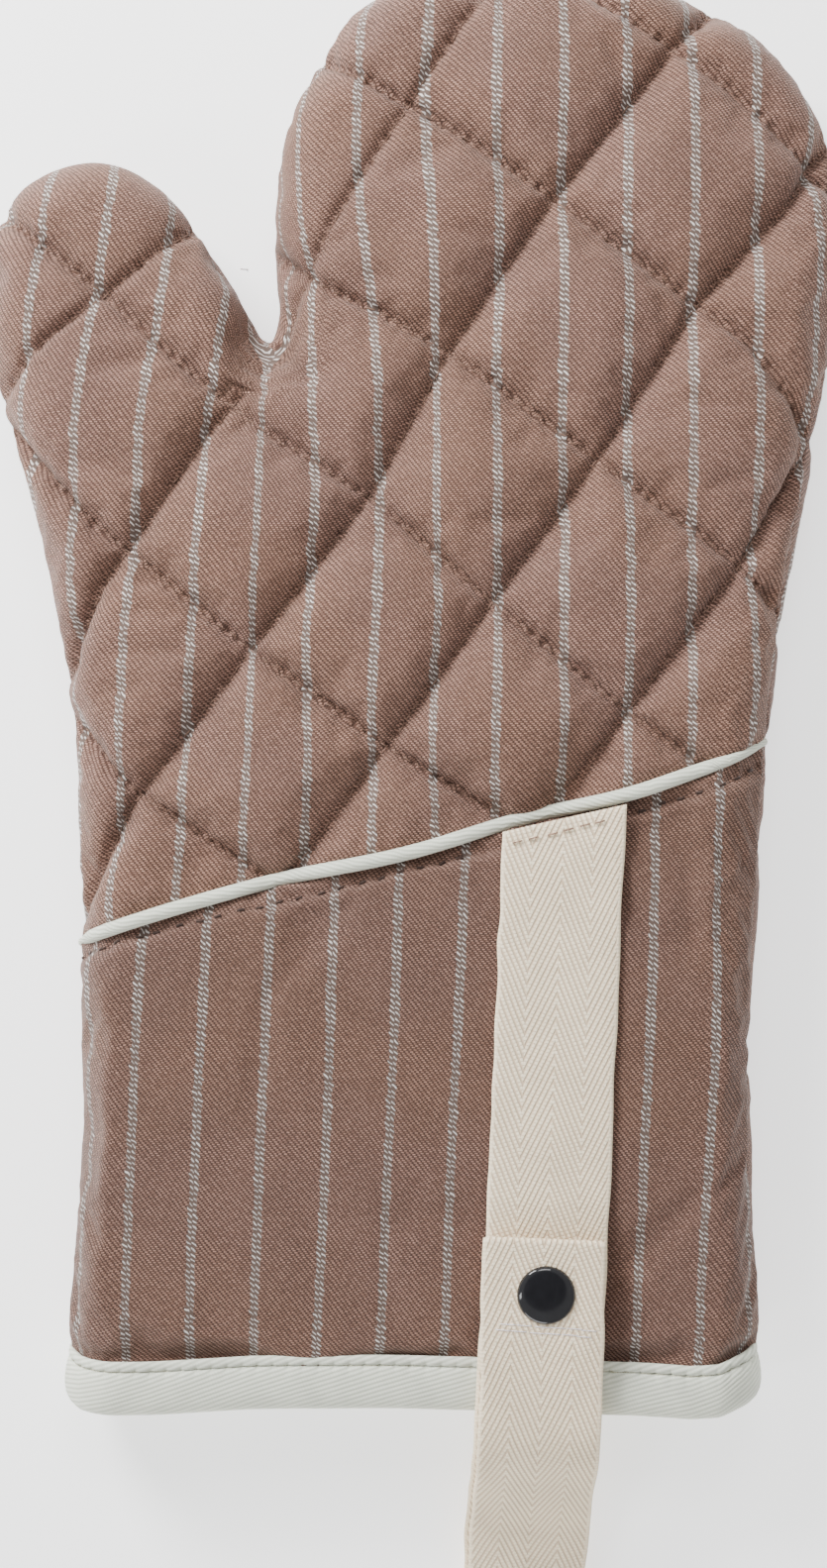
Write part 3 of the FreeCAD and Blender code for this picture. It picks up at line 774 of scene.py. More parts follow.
def striped_fabric(name, painted_shade_factor=1.0):
    """Brown twill with woven stripes of broken light dashes; its last argument darkens or lightens the
    whole colour as painted shade.
    """
    s = Shader(name, "weave")
    rows = s.v / 0.41
    row = rows.floor()
    floats = s.u / 1.08 + row * 0.336
    cell = s.add("ShaderNodeCombineXYZ", [floats.floor(), row]).outputs[0]
    chance = s.value("ShaderNodeTexWhiteNoise", [cell], noise_dimensions="2D")
    yarn = s.ramp(rows.off_centre(), 0.14, 0.46, 1.0, 0.08)
    yarn = yarn * s.ramp(floats.off_centre(), 0.2, 0.37, 1.0, 0.0) * (chance * 0.65 + 0.5)
    across = ((s.u / STRIPE_PITCH + 0.5).fract() - 0.5) * STRIPE_PITCH
    away = abs(across)
    # The dashes of a stripe's two halves are staggered by half a dash.
    dashes = (s.v + across * 0.75) / 1.15 + s.math("GREATER_THAN", across, 0.0) * 0.5
    dashes = dashes + s.noise(s.flat, 60.0, 1.0) * 0.8
    ragged = s.chance(dashes.floor()) * 0.45 + 0.8
    stripe = s.ramp(away / ragged, 0.8, 1.02, 1.0, 0.0)
    dash = s.ramp(dashes.off_centre(), 0.09, 0.21, 1.0, 0.0)
    dash = dash * (s.chance((dashes + 0.37).floor()) * 0.5 + 0.5)
    dash = dash * s.ramp(away, 0.04, 0.2, 0.2, 1.0)
    dash = dash * s.ramp(s.noise(s.flat, 160.0, 1.0), 0.36, 0.52, 0.5, 1.0)
    warm = s.mix(s.ramp(s.noise(s.flat, 3.2), 0.35, 0.65), (1.0, 0.985, 0.955), (1.0, 1.0, 1.035))
    brown = s.mix(1.0, s.mix(yarn, BROWN_GAP, BROWN_FLOAT), warm, "MULTIPLY")
    fleck = s.noise(s.flat, 210.0, 1.0)
    slub = s.noise(s.stretched(s.flat, (40.0, 420.0, 1.0)), 1.0)
    brown = s.tone(brown, s.uneven(s.noise(s.flat, 6.0, 3.0), 0.93, 1.07)
                   + s.uneven(slub, -0.06, 0.06) + s.uneven(fleck, -0.2, 0.2))
    light = s.mix(dash, STRIPE_GREY, STRIPE_WHITE)
    # Painted shade: the crease layer darkens the colour along stitch lines and folds, and the last argument
    # scales the whole colour.
    painted_crease_shade = s.layer("crease_shade_layer")[1]
    colour = s.tone(s.mix(stripe, brown, light), painted_crease_shade * (-0.28 * painted_shade_factor) + painted_shade_factor)
    height = yarn * (1.0 - stripe) + dash * stripe * 1.2
    return s.finish(colour, s.uneven(fleck, 0.72, 0.88), height, 0.16, sheen=0.16,
                    tint=(1.0, 0.93, 0.88))


MINT_RIB = (0.76, 0.78, 0.67)
MINT_GAP = (0.52, 0.545, 0.45)


def mint_twill(name, lean, pitch):
    """Bias-cut twill: fine slanting ribs with a little cross weave."""
    s = Shader(name, "cloth")
    cross = s.wave(s.u - s.v * 0.4, 0.62)
    weave = s.wave(s.v + s.u * lean, pitch) ** 0.8 * s.ramp(cross, 0.0, 1.0, 0.86, 1.0)
    colour = s.tone(s.mix(weave, MINT_GAP, MINT_RIB), s.uneven(s.noise(s.flat, 14.0), 0.94, 1.04))
    return s.finish(colour, 0.78, weave, 0.1, sheen=0.1)


TAPE_RIB = (1.0, 0.865, 0.64)
TAPE_GAP = (0.62, 0.455, 0.30)
TAPE_WIDTH = 25.4


def herringbone_tape(name):
    """Cotton tape in four herringbone columns. u runs across from the left edge."""
    s = Shader(name, "cloth")
    fold = s.math("PINGPONG", s.u, TAPE_WIDTH / 4)
    ribs = (s.v - fold * 2.2) / 2.6
    yarns = (s.v + fold * 0.3) / 0.85
    weave = (s.ramp(ribs.off_centre(), 0.2, 0.42, 1.0, 0.12)
             * s.ramp(yarns.off_centre(), 0.25, 0.5, 1.0, 0.55))
    selvedge = s.ramp(abs(s.u - TAPE_WIDTH / 2), TAPE_WIDTH / 2 - 1.0, TAPE_WIDTH / 2 - 0.5)
    weave = weave * (1.0 - selvedge) + selvedge * (s.wave(s.v, 0.85) * 0.3 + 0.6)
    level = (s.uneven(s.noise(s.flat, 9.0, 3.0), 0.95, 1.05)
             + s.uneven(s.noise(s.flat, 230.0, 1.0), -0.07, 0.07))
    return s.finish(s.tone(s.mix(weave, TAPE_GAP, TAPE_RIB), level), 0.85, weave, 0.22, sheen=0.12)


def plain_cloth(name, rib, gap, pitch, relief=0.08):
    """Plain weave from two crossing sets of yarns."""
    s = Shader(name, "cloth")
    weave = s.wave(s.u, pitch) ** 0.6 * s.wave(s.v, pitch) ** 0.6
    colour = s.tone(s.mix(weave, gap, rib), s.uneven(s.noise(s.flat, 7.0, 3.0), 0.93, 1.05))
    return s.finish(colour, 0.86, weave, relief, sheen=0.1)


def thread(name, light, dark):
    """Spun sewing thread; the twist shows as fine light and dark turns."""
    s = Shader(name)
    place = s.add("ShaderNodeTexCoord").outputs["Object"]
    twist = s.noise(place, 4000.0, 1.0)
    colour = s.mix(s.ramp(twist, 0.35, 0.65), dark, light)
    colour = s.tone(colour, s.uneven(s.noise(place, 120.0), 0.85, 1.1))
    return s.finish(colour, 0.6, twist, 0.05, sheen=0.1)


def metal(name, colour, roughness, metallic, scratch):
    """Pressed metal with faint handling marks."""
    s = Shader(name)
    place = s.add("ShaderNodeTexCoord").outputs["Object"]
    smear = s.noise(place, 500.0, 3.0)
    fine = s.noise(s.stretched(place, (3000.0, 300.0, 300.0)), 1.0)
    rough = (s.ramp(smear, 0.35, 0.65, roughness * 0.7, roughness * 1.5)
             + s.ramp(fine, 0.55, 0.75, 0.0, scratch))
    tone = s.tone(s.mix(s.uneven(smear, 0.0, 1.0), colour, tuple(c * 0.82 for c in colour)),
                  s.ramp(fine, 0.5, 0.8, 1.0, 1.15))
    return s.finish(tone, rough, fine, 0.004, metallic=metallic)


# ---- mouth of the mitt
# How far the mouth's edge is from y = 0: across the mitt, then distances.
HEM_EDGE = ([-74, -70, -64, -55, -34, -24, 11, 46, 58, 64, 68, 74],
            [2.6, 1.6, 1.4, 1.6, 2.8, 3.1, 2.8, 1.4, 0.5, 0.9, 2.2, 3.4])


BINDING_TOP = 11.5
HELD_Y = 9                      # the binding holds the cloth nearer to the mouth than this
STITCHED = 0.25                 # cloth this near to a stitch line is held by it
NEEDLE_DIMPLE = 0.55
CREASE = 0.9                    # extra narrow fold right at the thread
STITCH_PITCH = 3.0


def hem_shift(x):
    return np.interp(x, *HEM_EDGE)


def settle_hem(points):
    """Draws a panel's open end in so that it ends inside the binding."""
    points = points.copy()
    fade = 1 - smoothstep(0, 20, points[:, 1])
    points[:, 1] += (hem_shift(points[:, 0]) + 1.5) * fade
    return points


def hem_squeeze(cloth):
    """How far the binding presses the padding in near the mouth."""
    y = cloth[:, 1]
    return 1.75 * (1 - smoothstep(11.5, 19.0, y)) + 0.5 * (1 - smoothstep(7.5, 10.5, y))


INNER_DEPTH = 5.5               # thickness of the padding


def pad_piece(name, panel, points, chosen, weave, holes, seam_lines):
    """A solid pad from the chosen faces: quilted outside, smooth inside, closed round its rim."""
    used, faces = np.unique(panel["faces"][chosen], return_inverse=True)
    faces = faces.reshape(-1, 3)
    fine, fine_faces, cloth, rim = refine(points[used], faces, panel["cloth"][used])
    normals = normals_of(fine, fine_faces)
    away = nearest(cloth, holes)[0]
    along, weight = seam_lines
    off_line = nearest(cloth, along)
    sharp = np.exp(-(off_line[0] / 0.75)) * weight[off_line[1]]
    fine = fine - normals * (NEEDLE_DIMPLE * np.exp(-(away / 0.8) ** 2) + CREASE * sharp)[:, None]
    inner = settle_hem((panel["place"] - panel["outward"] * INNER_DEPTH)[used])
    start, end, middle = rim.T
    low = len(fine)
    walls = np.concatenate([np.stack(t, axis=1) for t in (
        (middle, start, start + low), (end, middle, end + low), (middle, start + low, end + low))])
    everything = np.concatenate([fine_faces, walls, faces[:, ::-1] + low])
    both = np.concatenate([cloth, panel["cloth"][used]])
    # Painted shade: cloth near the stitch lines and the pinched folds is darkened in colour through this uv
    # layer, standing in for the shade that falls in the creases.
    painted_crease_shade = np.exp(-off_line[0] / 1.1) * weight[off_line[1]]
    painted_crease_shade = np.concatenate([painted_crease_shade, np.zeros(len(used))])
    piece = make_mesh(name, np.concatenate([fine, inner]), everything,
                      [("weave", weave(both)), ("crease_shade_layer", np.column_stack([painted_crease_shade, painted_crease_shade]))])
    return piece, Surface(cloth, fine, fine_faces)


def needle_holes(lines, spacing, allowed):
    """Cloth positions of the needle holes along stitch lines."""
    holes = [resample(rounded(line, 0.8, 16), spacing) for line in lines]
    holes = np.concatenate(holes)
    return holes[allowed(holes)]


def line_points(lines, allowed):
    """Dense points along stitch lines and how deep each is drawn in."""
    points, weight = [], []
    for depth, line in lines:
        path = rounded(line, 0.5, 24)
        points.append(path)
        weight.append(np.full(len(path), 0.55 + 0.45 * depth))
    points, weight = np.concatenate(points), np.concatenate(weight)
    keep = allowed(points)
    return points[keep], weight[keep]


def past_binding(points):
    return points[:, 1] > BINDING_TOP


# ---- front: hand and cuff
def piping_side(points):
    """Signed distance from the piping: positive towards the fingertips."""
    best, sign = np.full(len(points), 1e9), np.zeros(len(points))
    for along, offset in from_segments(points, np.array(PIPING_LINE)):
        d = np.linalg.norm(offset, axis=1)
        closer = d < best
        best[closer] = d[closer]
        sign[closer] = (along[0] * offset[:, 1] - along[1] * offset[:, 0])[closer]
    return best * np.sign(sign)


def past_piping(points):
    return piping_side(points) > 2.2


FRONT_SPACING, BACK_SPACING, LINING_SPACING = 1.75, 2.2, 4.5
TOPSTITCH_DOWN = 3.9            # from the piping down to its top stitching
TOPSTITCH_PITCH = 4.5
HAND_DOME = 1.5                 # rise of the hand's middle
PIPING_GROOVE, TOPSTITCH_GROOVE = 1.3, 0.8
front_lines, back_lines = ([corners for _, corners in lines] for lines in (FRONT_QUILTING, BACK_QUILTING))
front = build_panel(True, FRONT_SPACING, FRONT_QUILTING + [(0.0, PIPING_LINE)], 13)
cloth = front["cloth"]
side_of = piping_side(cloth)
hand_side = side_of > -0.3
near, pull, field = quilt_field(front, FRONT_QUILTING)
_, _, fold_field = quilt_field(front, PINCHES)
field = np.where(hand_side, 1 - (1 - field) * (1 - 0.8 * fold_field), 0)
near = np.where(hand_side, near, 50.0)
above = smoothstep(1.0, 22.0, side_of)
crown = HAND_DOME * (1 - np.exp(-front["depth_in"] / 18)) * above
cuff_wave = 0.55 + 0.55 * ripple(cloth * [1.0, 0.8], 52.0, 31) + 0.2 * ripple(cloth, 23.0, 32)
cuff_wave = np.clip(cuff_wave, 0.05, None) * (1 - above)
crown -= cuff_wave * smoothstep(0, 10, front["depth_in"] + 4)
crown -= hem_squeeze(cloth) + PIPING_GROOVE * np.exp(-np.abs(side_of) / 3.0)
crown -= TOPSTITCH_GROOVE * smoothstep(4, 0.5, np.abs(side_of + 2.4)) * (side_of < 0)
start_shape = settle_hem(first_shape(front, near, field, crown))
stitched = hand_side & (near < STITCHED) & (pull > 0.5)
held = front["seam"] | stitched | (np.abs(side_of) < 0.4) | (cloth[:, 1] < HELD_Y)
share = np.where(hand_side, 1.0, 0.12)
shape = simulate(start_shape, front["faces"], held, share, 0.02, 2.0)
shape[:, 2] = np.where(hand_side, shape[:, 2], np.minimum(shape[:, 2], TOP_Z - 0.05))

of_hand = piping_side(cloth[front["faces"]].mean(axis=1)) > 0
hand_pad, hand_surface = pad_piece(
    "hand_pad", front, shape, of_hand, hand_weave, needle_holes(front_lines, STITCH_PITCH, past_piping),
    line_points(FRONT_QUILTING + PINCHES, lambda p: piping_side(p) > 1.0))
offset_line = rounded(PIPING_LINE, 2.0, 20)
along = unit_rows(np.gradient(offset_line, axis=0))
down = np.column_stack([along[:, 1], -along[:, 0]])
topstitch_line = offset_line + down * TOPSTITCH_DOWN
top_holes = resample(topstitch_line, TOPSTITCH_PITCH)
cuff_pad, cuff_surface = pad_piece("cuff_pad", front, shape, ~of_hand, cuff_weave, top_holes,
                                   line_points([(-0.5, topstitch_line)], lambda p: p[:, 1] > 0))

# ---- back
back = build_panel(False, BACK_SPACING, BACK_QUILTING, 11)
b_near, _, b_field = quilt_field(back, BACK_QUILTING)
b_crown = -hem_squeeze(back["cloth"]) - 0.25
b_start = settle_hem(first_shape(back, b_near, b_field * 0.8, b_crown))
b_start[:, 2] = np.where(b_start[:, 2] < 8, np.maximum(b_start[:, 2], 0.3), b_start[:, 2])
b_held = back["seam"] | (b_near < STITCHED) | (back["cloth"][:, 1] < HELD_Y)
b_shape = simulate(b_start, back["faces"], b_held, np.ones(len(b_start)), 0.015, 0.8)
b_shape[:, 2] = np.maximum(b_shape[:, 2], 0.25)
back_pad, back_surface = pad_piece(
    "back_pad", back, b_shape, np.ones(len(back["faces"]), bool), back_weave,
    needle_holes(back_lines, STITCH_PITCH, past_binding), line_points(BACK_QUILTING, past_binding))

# ---- linings
linings = []
LINING_DEPTH = 5.8              # just clear of the padding's inner face
for name, is_front in (("palm_lining", True), ("under_lining", False)):
    panel = build_panel(is_front, LINING_SPACING, [], 5)
    slack = (1 + ripple(panel["cloth"], 16.0, 41 + is_front)) * smoothstep(11, 22, panel["cloth"][:, 1])
    inset = LINING_DEPTH + 0.25 * slack
    points = settle_hem(panel["place"] - panel["outward"] * inset[:, None])
    lining = make_mesh(name, points, panel["faces"], [("cloth", panel["cloth"] / 100)])
    thicken(lining, 0.35)
    linings.append(lining)


# ---- hem binding
HEM_HALF = 74.8                 # half the mouth's width, and how much it loses per millimetre of y
HEM_TAPER = 0.095


def mouth_ring(turn, y, inset):
    """x and z round the mouth at height y along the mitt, inset from its skin. turn is 0 to 1
    from the right side seam over the front, the left seam and the back."""
    level = HEM_HALF - HEM_TAPER * y - EDGE_R
    quarter = math.pi / 2 * EDGE_R
    half_way = 2 * (level + quarter)
    is_back, run = np.divmod(turn % 1.0 * 2 * half_way, half_way)
    angle = (np.minimum(run, quarter) + np.maximum(0, run - quarter - 2 * level)) / EDGE_R
    x = level - np.clip(run - quarter, 0, 2 * level) + (EDGE_R - inset) * np.cos(angle)
    # The back half is the front half turned about the middle.
    sign = 1 - 2 * is_back
    return sign * x, SEAM_Z + sign * (HALF - inset) * np.sin(angle)


# Across the binding: distance from the mouth's edge and depth below the skin.
BINDING_PROFILE = [(9.6, 1.75), (10.6, 1.55), (11.05, 1.15), (11.2, 0.75), (11.0, 0.42), (10.4, 0.32),
                   (9.8, 0.45), (9.35, 1.0), (8.9, 0.5), (8.2, 0.25), (6.8, 0.1), (5.0, 0.05),
                   (3.4, 0.15), (2.0, 0.5), (1.0, 1.05), (0.35, 1.8), (0.05, 2.8), (0.0, 3.8),
                   (0.25, 4.9), (0.7, 6.0), (1.4, 6.8), (2.6, 7.15), (5.0, 7.25), (7.2, 7.3),
                   (8.6, 7.2), (9.2, 6.95), (9.0, 6.7)]
RING_STEPS = 1000
RING_STEP = 0.412               # way round the mouth for one step
HEM_PITCH = 3.2
HEM_SEAM_Y = 9.35               # how far the stitches are from the mouth's edge
hem_turns = np.linspace(0, 1, 801)
x, z = mouth_ring(hem_turns, HEM_SEAM_Y, 0.98)
skin_x, skin_z = mouth_ring(hem_turns, HEM_SEAM_Y, 0.0)
hem_line = np.column_stack([x, HEM_SEAM_Y + hem_shift(x), z])
hem_normals = unit_rows(np.column_stack([skin_x - x, np.zeros(len(x)), skin_z - z]))
profile_run = path_lengths(np.array(BINDING_PROFILE))
round_run = np.arange(RING_STEPS + 1) * RING_STEP
pucker, swell = run_ripple(round_run, 6.5, 51), run_ripple(round_run, 40.0, 52)
pucker[-1], swell[-1] = pucker[0], swell[0]
pucker, swell = pucker[:, None], swell[:, None]
ring_length = 2 * 2 * (74.0 - EDGE_R) + 2 * math.pi * EDGE_R
turn = (np.arange(RING_STEPS + 1) / RING_STEPS)[:, None]
stitch = np.interp(turn, hem_turns, path_lengths(hem_line)) / HEM_PITCH - 0.33
hole = np.exp(-(((stitch + 0.5) % 1 - 0.5) * HEM_PITCH / 0.5) ** 2)
y, inset = np.array(BINDING_PROFILE).T
relief = inset + 0.5 * hole * np.exp(-((y - HEM_SEAM_Y) / 0.8) ** 2)
relief += 0.16 * pucker * np.exp(-np.abs(y - 9.0) / 1.6)
relief += 0.12 * (1 + swell) * (inset < 3)
x, z = mouth_ring(turn, y, relief)
ring_points = np.stack([x, y + hem_shift(x) + 0.12 * swell, np.maximum(z, 0.15)], axis=2)
ring_uv = np.stack(np.broadcast_arrays(turn * ring_length / 100, -profile_run / 100), axis=2)
binding = make_mesh("hem_binding_tape", ring_points.reshape(-1, 3),
                    grid_faces(RING_STEPS + 1, len(BINDING_PROFILE)),
                    [("cloth", ring_uv.reshape(-1, 2))])
thicken(binding, 0.3)

hem_threads = stitch_row("hem_stitching", hem_line, hem_normals, HEM_PITCH, 0.86, 0.19,
                         sink=0.0, lift=0.18)

# ---- piping
_, places, normals = cuff_surface.at(rounded(PIPING_LINE, 0.8, 40))
run = path_lengths(places)
PIPING_R = 1.5
taper = 0.62 + 0.38 * smoothstep(0, 7, run) * (1 - smoothstep(run[-1] - 22, run[-1] - 1, run))
lift = 1.3 - 1.1 * np.exp(-np.minimum(run, run[-1] - run) / 4.0)
centre = places + normals * lift[:, None]
# The cord keeps a steadier course in plan than in height, where it follows the cloth.
soften(centre, 50)
soften(centre, 190, slice(0, 2))
piping = tube("piping", centre, PIPING_R * taper, 16, up=normals)

# ---- stitches
def stitches_on(name, surface, lines, pitch, share, radius, allowed, **extra):
    """Rows of stitches along lines, broken where a line leaves the cloth."""
    rows, spacing = [], 0.8
    for line in lines:
        path = rounded(line, spacing, 16)
        path = path[allowed(path)]
        if len(path) < 6:
            continue
        kept, places, normals = surface.at(path)
        if len(places) < 6:
            continue
        jumps = np.flatnonzero((np.linalg.norm(np.diff(kept, axis=0), axis=1) > 3 * spacing)
                               | (np.linalg.norm(np.diff(places, axis=0), axis=1) > 3 * spacing))
        for a, b in zip([0, *(jumps + 1)], [*(jumps + 1), len(kept)]):
            if b - a > 6:
                rows.append(stitch_row(name, places[a:b], normals[a:b], pitch, share, radius, **extra))
    return joined(name, rows)


def beside_strap(points):
    return (points[:, 0] < 17.5) | (points[:, 0] > 45)


front_threads = stitches_on("palm_quilting_stitches", hand_surface, front_lines, STITCH_PITCH,
                            0.72, 0.14, past_piping, sink=0.05, lift=0.12)
back_threads = stitches_on("back_quilting_stitches", back_surface, back_lines, STITCH_PITCH,
                           0.72, 0.14, past_binding, sink=0.05, lift=0.12)
top_threads = stitches_on("piping_stitches", cuff_surface, [topstitch_line], TOPSTITCH_PITCH,
                          0.34, 0.3, beside_strap, sink=-0.05, lift=0.12)

# ---- strap
STRAP_X = 26.2                  # the strap's own axes: where they start and how they are turned
STRAP_TURN = math.radians(2.4)
TAPE_THICK = 1.0
END_TOP_Z = 32.62               # heights of the stitches on the tape's end and at its root
ROOT_TOP_Z = 28.42
SNAP_Y = 28.5


def to_frame(points):
    """From the strap's own axes (across, along, up) to the mitt's."""
    points = np.asarray(points, float)
    x, y = points[..., 0], points[..., 1]
    return np.stack([STRAP_X + x * math.cos(STRAP_TURN) + y * math.sin(STRAP_TURN),
                     -x * math.sin(STRAP_TURN) + y * math.cos(STRAP_TURN), points[..., 2]], axis=-1)


def ribbon(name, line, columns=28, start_run=0.0, shift=0.0, skew=0.0, seed=61):
    """Flat tape swept along a centre line given as (y, z) in the strap's own axes.
    shift moves each row sideways and skew slants it."""
    line = np.asarray(line, float)
    tangent = unit_rows(np.gradient(line, axis=0))
    across = np.linspace(-1, 1, columns)
    across = np.sign(across) * (1 - (1 - np.abs(across)) ** 1.25)
    half = TAPE_THICK / 2 * np.sqrt(np.clip(1 - np.abs(across) ** 14, 0.05, 1))
    across, half = np.concatenate([across, across[::-1]]), np.concatenate([half, -half[::-1]])
    rows = (len(line), 1)
    run = (path_lengths(line) + start_run).reshape(rows)
    shift, skew = (np.broadcast_to(np.reshape(v, (-1, 1)), rows) for v in (shift, skew))
    left, right = (run_ripple(run[:, 0], length, seed + k).reshape(rows) * 0.16
                   for k, length in enumerate((14.0, 19.0)))
    edge = np.where(across < 0, left, right)
    x = across * TAPE_WIDTH / 2 + edge * np.abs(across) ** 3 + shift
    points = np.stack([x, line[:, :1] - tangent[:, 1:] * half + skew * x,
                       line[:, 1:] + tangent[:, :1] * half], axis=2)
    uv = np.stack([np.broadcast_to((across + 1) * TAPE_WIDTH / 200, x.shape),
                   (run - skew * x) / 100], axis=2)
    ring = 2 * columns
    faces = grid_faces(len(line), ring, close_columns=True) + end_caps(len(line), ring)
    return make_mesh(name, to_frame(points.reshape(-1, 3)), faces, [("cloth", uv.reshape(-1, 2))])


def arc_line(centre, radius, start, end, steps=14):
    angles = np.radians(np.linspace(start, end, steps))
    return [(centre[0] + radius * math.cos(a), centre[1] + radius * math.sin(a)) for a in angles]


HALF_TAPE = TAPE_THICK / 2
LOOP_Y = -67.0                  # where the bend of the loop begins
BEND_R = 4.5
END_FOLD = (38.9, 31.6)         # where the tape's end is turned under
# The face that each run rests on, as (y, z).
LOWER_FACE = [(126.6, 26.75), (124.6, 27.05), (121.0, 27.3), (100.0, 27.35), (80.0, 27.4), (60.0, 27.6),
              (48.4, 27.65), (46.4, 28.35), (44.9, 28.4), (40.4, 27.65), (20.0, 27.75), (0.0, 27.75),
              (-4.0, 27.3), (-9.0, 24.2), (-14.0, 18.2), (-20.0, 11.2), (-28.0, 5.0), (-37.0, 1.6),
              (-46.0, 0.55), (-56.0, 0.4), (LOOP_Y, 0.4)]
lower_line = rounded([(y, z + HALF_TAPE) for y, z in LOWER_FACE], 1.3, 10)
lower_shift = -0.9 * smoothstep(40, 0, lower_line[:, 0]) * smoothstep(-60, -30, lower_line[:, 0])
# The sewn end is cut to the slant of the piping.
lower_skew = 0.268 * smoothstep(96, 122, lower_line[:, 0])
strap_lower = ribbon("strap_lower", lower_line, shift=lower_shift, skew=lower_skew)
bend_line = arc_line((LOOP_Y, 5.4), BEND_R, 270, 90, 34)
lower_run = path_lengths(lower_line)[-1]
strap_bend = ribbon("strap_bend", bend_line, start_run=lower_run)
bend_run = path_lengths(np.array(bend_line))[-1]
UPPER_FACE = [(LOOP_Y, 9.4), (-59.0, 9.1), (-50.0, 6.9), (-44.0, 5.6), (-37.0, 6.3), (-28.0, 10.2),
              (-20.0, 16.2), (-13.0, 22.5), (-7.0, 27.6), (-1.0, 29.9), (8.0, 30.75), (15.0, 31.3),
              (20.0, 31.6), END_FOLD]
upper_line = rounded([(y, z + HALF_TAPE) for y, z in UPPER_FACE], 1.3, 8)
fold = arc_line(END_FOLD, HALF_TAPE, 90, -90, 9)
under = [(y, 31.1) for y in np.linspace(38.0, 20.0, 14)]
upper_line = np.concatenate([upper_line, fold[1:], under])
upper_shift = -0.35 * smoothstep(2, 18, upper_line[:, 0]) - 0.4 * smoothstep(20, 30, upper_line[:, 0])
strap_upper = ribbon("strap_upper", upper_line, start_run=lower_run + bend_run, shift=upper_shift, seed=71)


def upwards(points):
    return np.tile([0.0, 0.0, 1.0], (len(points), 1))


thread_rows = []
for y, span, slope in ((21.9, (-10.5, 12.6), -0.03), (20.6, (-11.5, 12.4), -0.035)):
    xs = np.arange(span[0], span[1], 0.4)
    row = to_frame(np.column_stack([xs, y + slope * xs, np.full(len(xs), END_TOP_Z)]))
    thread_rows.append(stitch_row("strap_end_threads", row, upwards(xs), 3.4, 0.93, 0.1,
                                  sink=0.02, lift=0.06))
end_threads = joined("strap_end_threads", thread_rows)
anchor_points = offset_line + down * 3.5
anchor_points = resample(anchor_points[(anchor_points[:, 0] > 16) & (anchor_points[:, 0] < 47)], 0.5)
strap_across = anchor_points[:, 0] - STRAP_X - anchor_points[:, 1] * math.sin(STRAP_TURN)
anchor_points = anchor_points[np.abs(strap_across / math.cos(STRAP_TURN)) < 12.2]
anchor = np.column_stack([anchor_points, np.full(len(anchor_points), ROOT_TOP_Z)])
anchor_threads = stitch_row("strap_anchor_threads", anchor, upwards(anchor), 3.6, 0.6, 0.17,
                            sink=0.05, lift=0.12)


# ---- snap
def lathe(name, rings, centre, sides=64):
    """Turned form from (radius, height) rings, closed at both ends."""
    turn = np.arange(sides) * 2 * math.pi / sides
    points = [(centre[0] + r * math.cos(a), centre[1] + r * math.sin(a), z) for r, z in rings for a in turn]
    faces = grid_faces(len(rings), sides, close_columns=True) + end_caps(len(rings), sides)
    return make_mesh(name, points, faces)


snap_centre = to_frame([(0.0, SNAP_Y, 0.0)])[0]
DOME_R, DOME_BASE, DOME_RISE = 5.8, 33.12, 1.03
dome = [(5.0, 32.45), (5.8, 32.45), (5.98, 32.6), (6.0, 32.78), (5.94, 32.95), (5.8, 33.12)]
dome += [(DOME_R * math.cos(a), DOME_BASE + DOME_RISE * math.sin(a))
         for a in np.linspace(0.12, math.pi / 2 - 0.02, 22)]
cap = lathe("snap_dome", dome, snap_centre, 96)

# ---- pieces, bodies and materials
fabric = striped_fabric("striped_twill")
# The cuff is the same twill painted darker overall: painted shade for the flat cuff, which gets less light
# than the domed hand.
shaded_cuff_cloth = striped_fabric("striped_twill_cuff_painted_shade", 0.76)
binding_cloth = mint_twill("mint_bias_binding", 0.3, 0.95)
piping_cloth = mint_twill("mint_bias_piping", 0.35, 0.9)
tape = herringbone_tape("herringbone_tape")
lining_cloth = plain_cloth("lining_cotton", (0.62, 0.57, 0.5), (0.4, 0.36, 0.31), 0.55)
# The quilting thread is coloured darker than its real light tan, a painted shade of the grooves it lies in.
shade_darkened_thread = thread("shade_darkened_thread", (0.27, 0.16, 0.115), (0.12, 0.065, 0.045))
anchor_thread = thread("anchor_thread", (0.36, 0.23, 0.16), (0.17, 0.10, 0.07))
brown_thread = thread("brown_thread", (0.055, 0.03, 0.022), (0.03, 0.016, 0.012))
mint_thread = thread("mint_thread", (0.60, 0.60, 0.46), (0.34, 0.33, 0.24))
white_thread = thread("white_thread", (0.88, 0.84, 0.88), (0.7, 0.66, 0.7))
black = metal("black_nickel", (0.012, 0.012, 0.014), 0.06, 0.0, 0.05)
steel = metal("snap_steel", (0.60, 0.59, 0.57), 0.24, 1.0, 0.15)

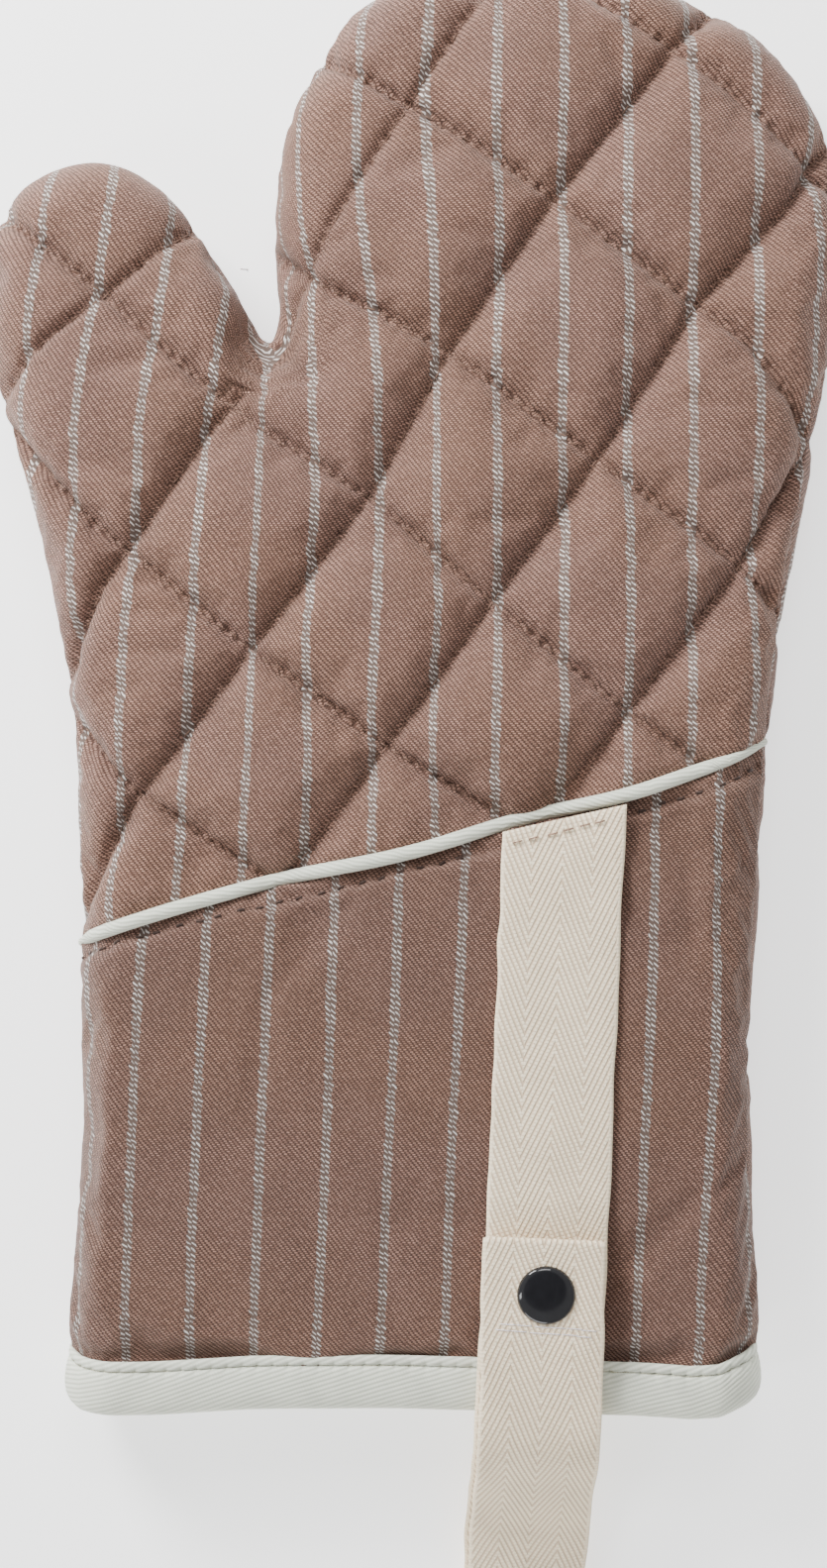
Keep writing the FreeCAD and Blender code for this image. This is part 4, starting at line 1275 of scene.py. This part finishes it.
PIECES = [
    (hand_pad, "mitt", "striped_fabric", fabric, ("front_outer_fabric", "front_wadding")),
    (cuff_pad, "mitt", "cuff_fabric", shaded_cuff_cloth, ("cuff_panel",)),
    (back_pad, "mitt", "striped_fabric", fabric, ("back_outer_fabric", "back_wadding")),
    (linings[0], "mitt", "lining", lining_cloth, ("front_lining",)),
    (linings[1], "mitt", "lining", lining_cloth, ("back_lining",)),
    (binding, "mitt", "mint_twill", binding_cloth, ("hem_binding",)),
    (hem_threads, "mitt", "light_thread", mint_thread, ("hem_stitch",)),
    (piping, "mitt", "mint_twill", piping_cloth, ("piping_cover", "piping_cord")),
    (top_threads, "mitt", "brown_thread", brown_thread, ("piping_topstitch",)),
    (front_threads, "mitt", "quilting_thread", shade_darkened_thread, ("front_quilting_thread",)),
    (back_threads, "mitt", "quilting_thread", shade_darkened_thread, ("back_quilting_thread",)),
    (anchor_threads, "mitt", "brown_thread", anchor_thread, ("strap_anchor_stitch",)),
    (strap_upper, "strap_tip", "tape", tape, ("strap_end",)),
    (end_threads, "strap_tip", "light_thread", white_thread, ("strap_end_stitch",)),
    (cap, "strap_tip", "snap_enamel", black, ("snap_cap",)),
]
for piece, body, slot, material, nodes in PIECES:
    piece.data.materials.append(material)
    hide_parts(*nodes)
    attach(piece, body)
for piece in (strap_lower, strap_bend):
    piece.data.materials.append(tape)
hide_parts("strap_root", "strap_run")
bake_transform(strap_lower)
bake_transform(strap_bend)
for node in ("snap_post", "snap_stud", "snap_socket"):
    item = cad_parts[node]
    item.data.materials.clear()
    item.data.materials.append(steel)

# ---- floor, light and world
FLOOR_HALF = 25000.0
corners = [(-FLOOR_HALF, -FLOOR_HALF, 0), (FLOOR_HALF, -FLOOR_HALF, 0),
           (FLOOR_HALF, FLOOR_HALF, 0), (-FLOOR_HALF, FLOOR_HALF, 0)]
floor = make_mesh("floor", corners, [(0, 1, 2, 3)])
paper = Shader("paper_floor")
paper_noise = paper.noise(paper.add("ShaderNodeTexCoord").outputs["Object"], 8.0)
floor.data.materials.append(paper.finish(
    paper.tone((0.93, 0.93, 0.93), paper.uneven(paper_noise, 0.995, 1.005)), 0.9, glow=1.25))

world = bpy.data.worlds.new("studio")
bpy.context.scene.world = world
world.use_nodes = True
nodes, links = world.node_tree.nodes, world.node_tree.links
# The tent is brightest low down, with a darker opening straight above. The curve holds half
# the strength, since it can't go above one.
sky, split, opening, double = (nodes.new("ShaderNode" + kind) for kind in
                               ("TexCoord", "SeparateXYZ", "FloatCurve", "Math"))
curve = opening.mapping.curves[0].points
for place, level in ((0.12, 1.0), (0.3, 0.6), (0.87, 0.6), (0.925, 0.12)):
    curve.new(place, level / 2)
curve[0].location = (0.0, 0.6)
curve[-1].location = (1.0, 0.03)
opening.mapping.update()
double.operation = "MULTIPLY"
double.inputs[1].default_value = 2.0
background = nodes["Background"]
background.inputs["Color"].default_value = (1.0, 1.0, 1.0, 1.0)
for source, target in ((sky.outputs["Generated"], split.inputs[0]),
                       (split.outputs[2], opening.inputs["Value"]),
                       (opening.outputs[0], double.inputs[0]),
                       (double.outputs[0], background.inputs["Strength"])):
    links.new(source, target)


def softbox(name, place, target, size, power):
    light = bpy.data.lights.new(name, "AREA")
    light.shape = "RECTANGLE"
    light.size, light.size_y = size
    light.energy = power
    item = bpy.data.objects.new(name, light)
    item.location = place
    item.rotation_euler = (Vector(target) - Vector(place)).to_track_quat("-Z", "Y").to_euler()
    bpy.context.scene.collection.objects.link(item)


softbox("key", (-0.42, 0.68, 0.40), (0.0, 0.15, 0.0), (0.28, 0.28), 12.8)
softbox("fill", (-0.25, -0.85, 0.30), (0.0, 0.0, 0.0), (0.7, 0.35), 5.5)
softbox("rim_top", (0.02, 0.60, 0.65), (0.0, 0.03, 0.03), (0.34, 0.2), 2.6)
softbox("rim_left", (-0.56, -0.17, 0.62), (0.0, 0.03, 0.03), (0.12, 0.3), 1.5)
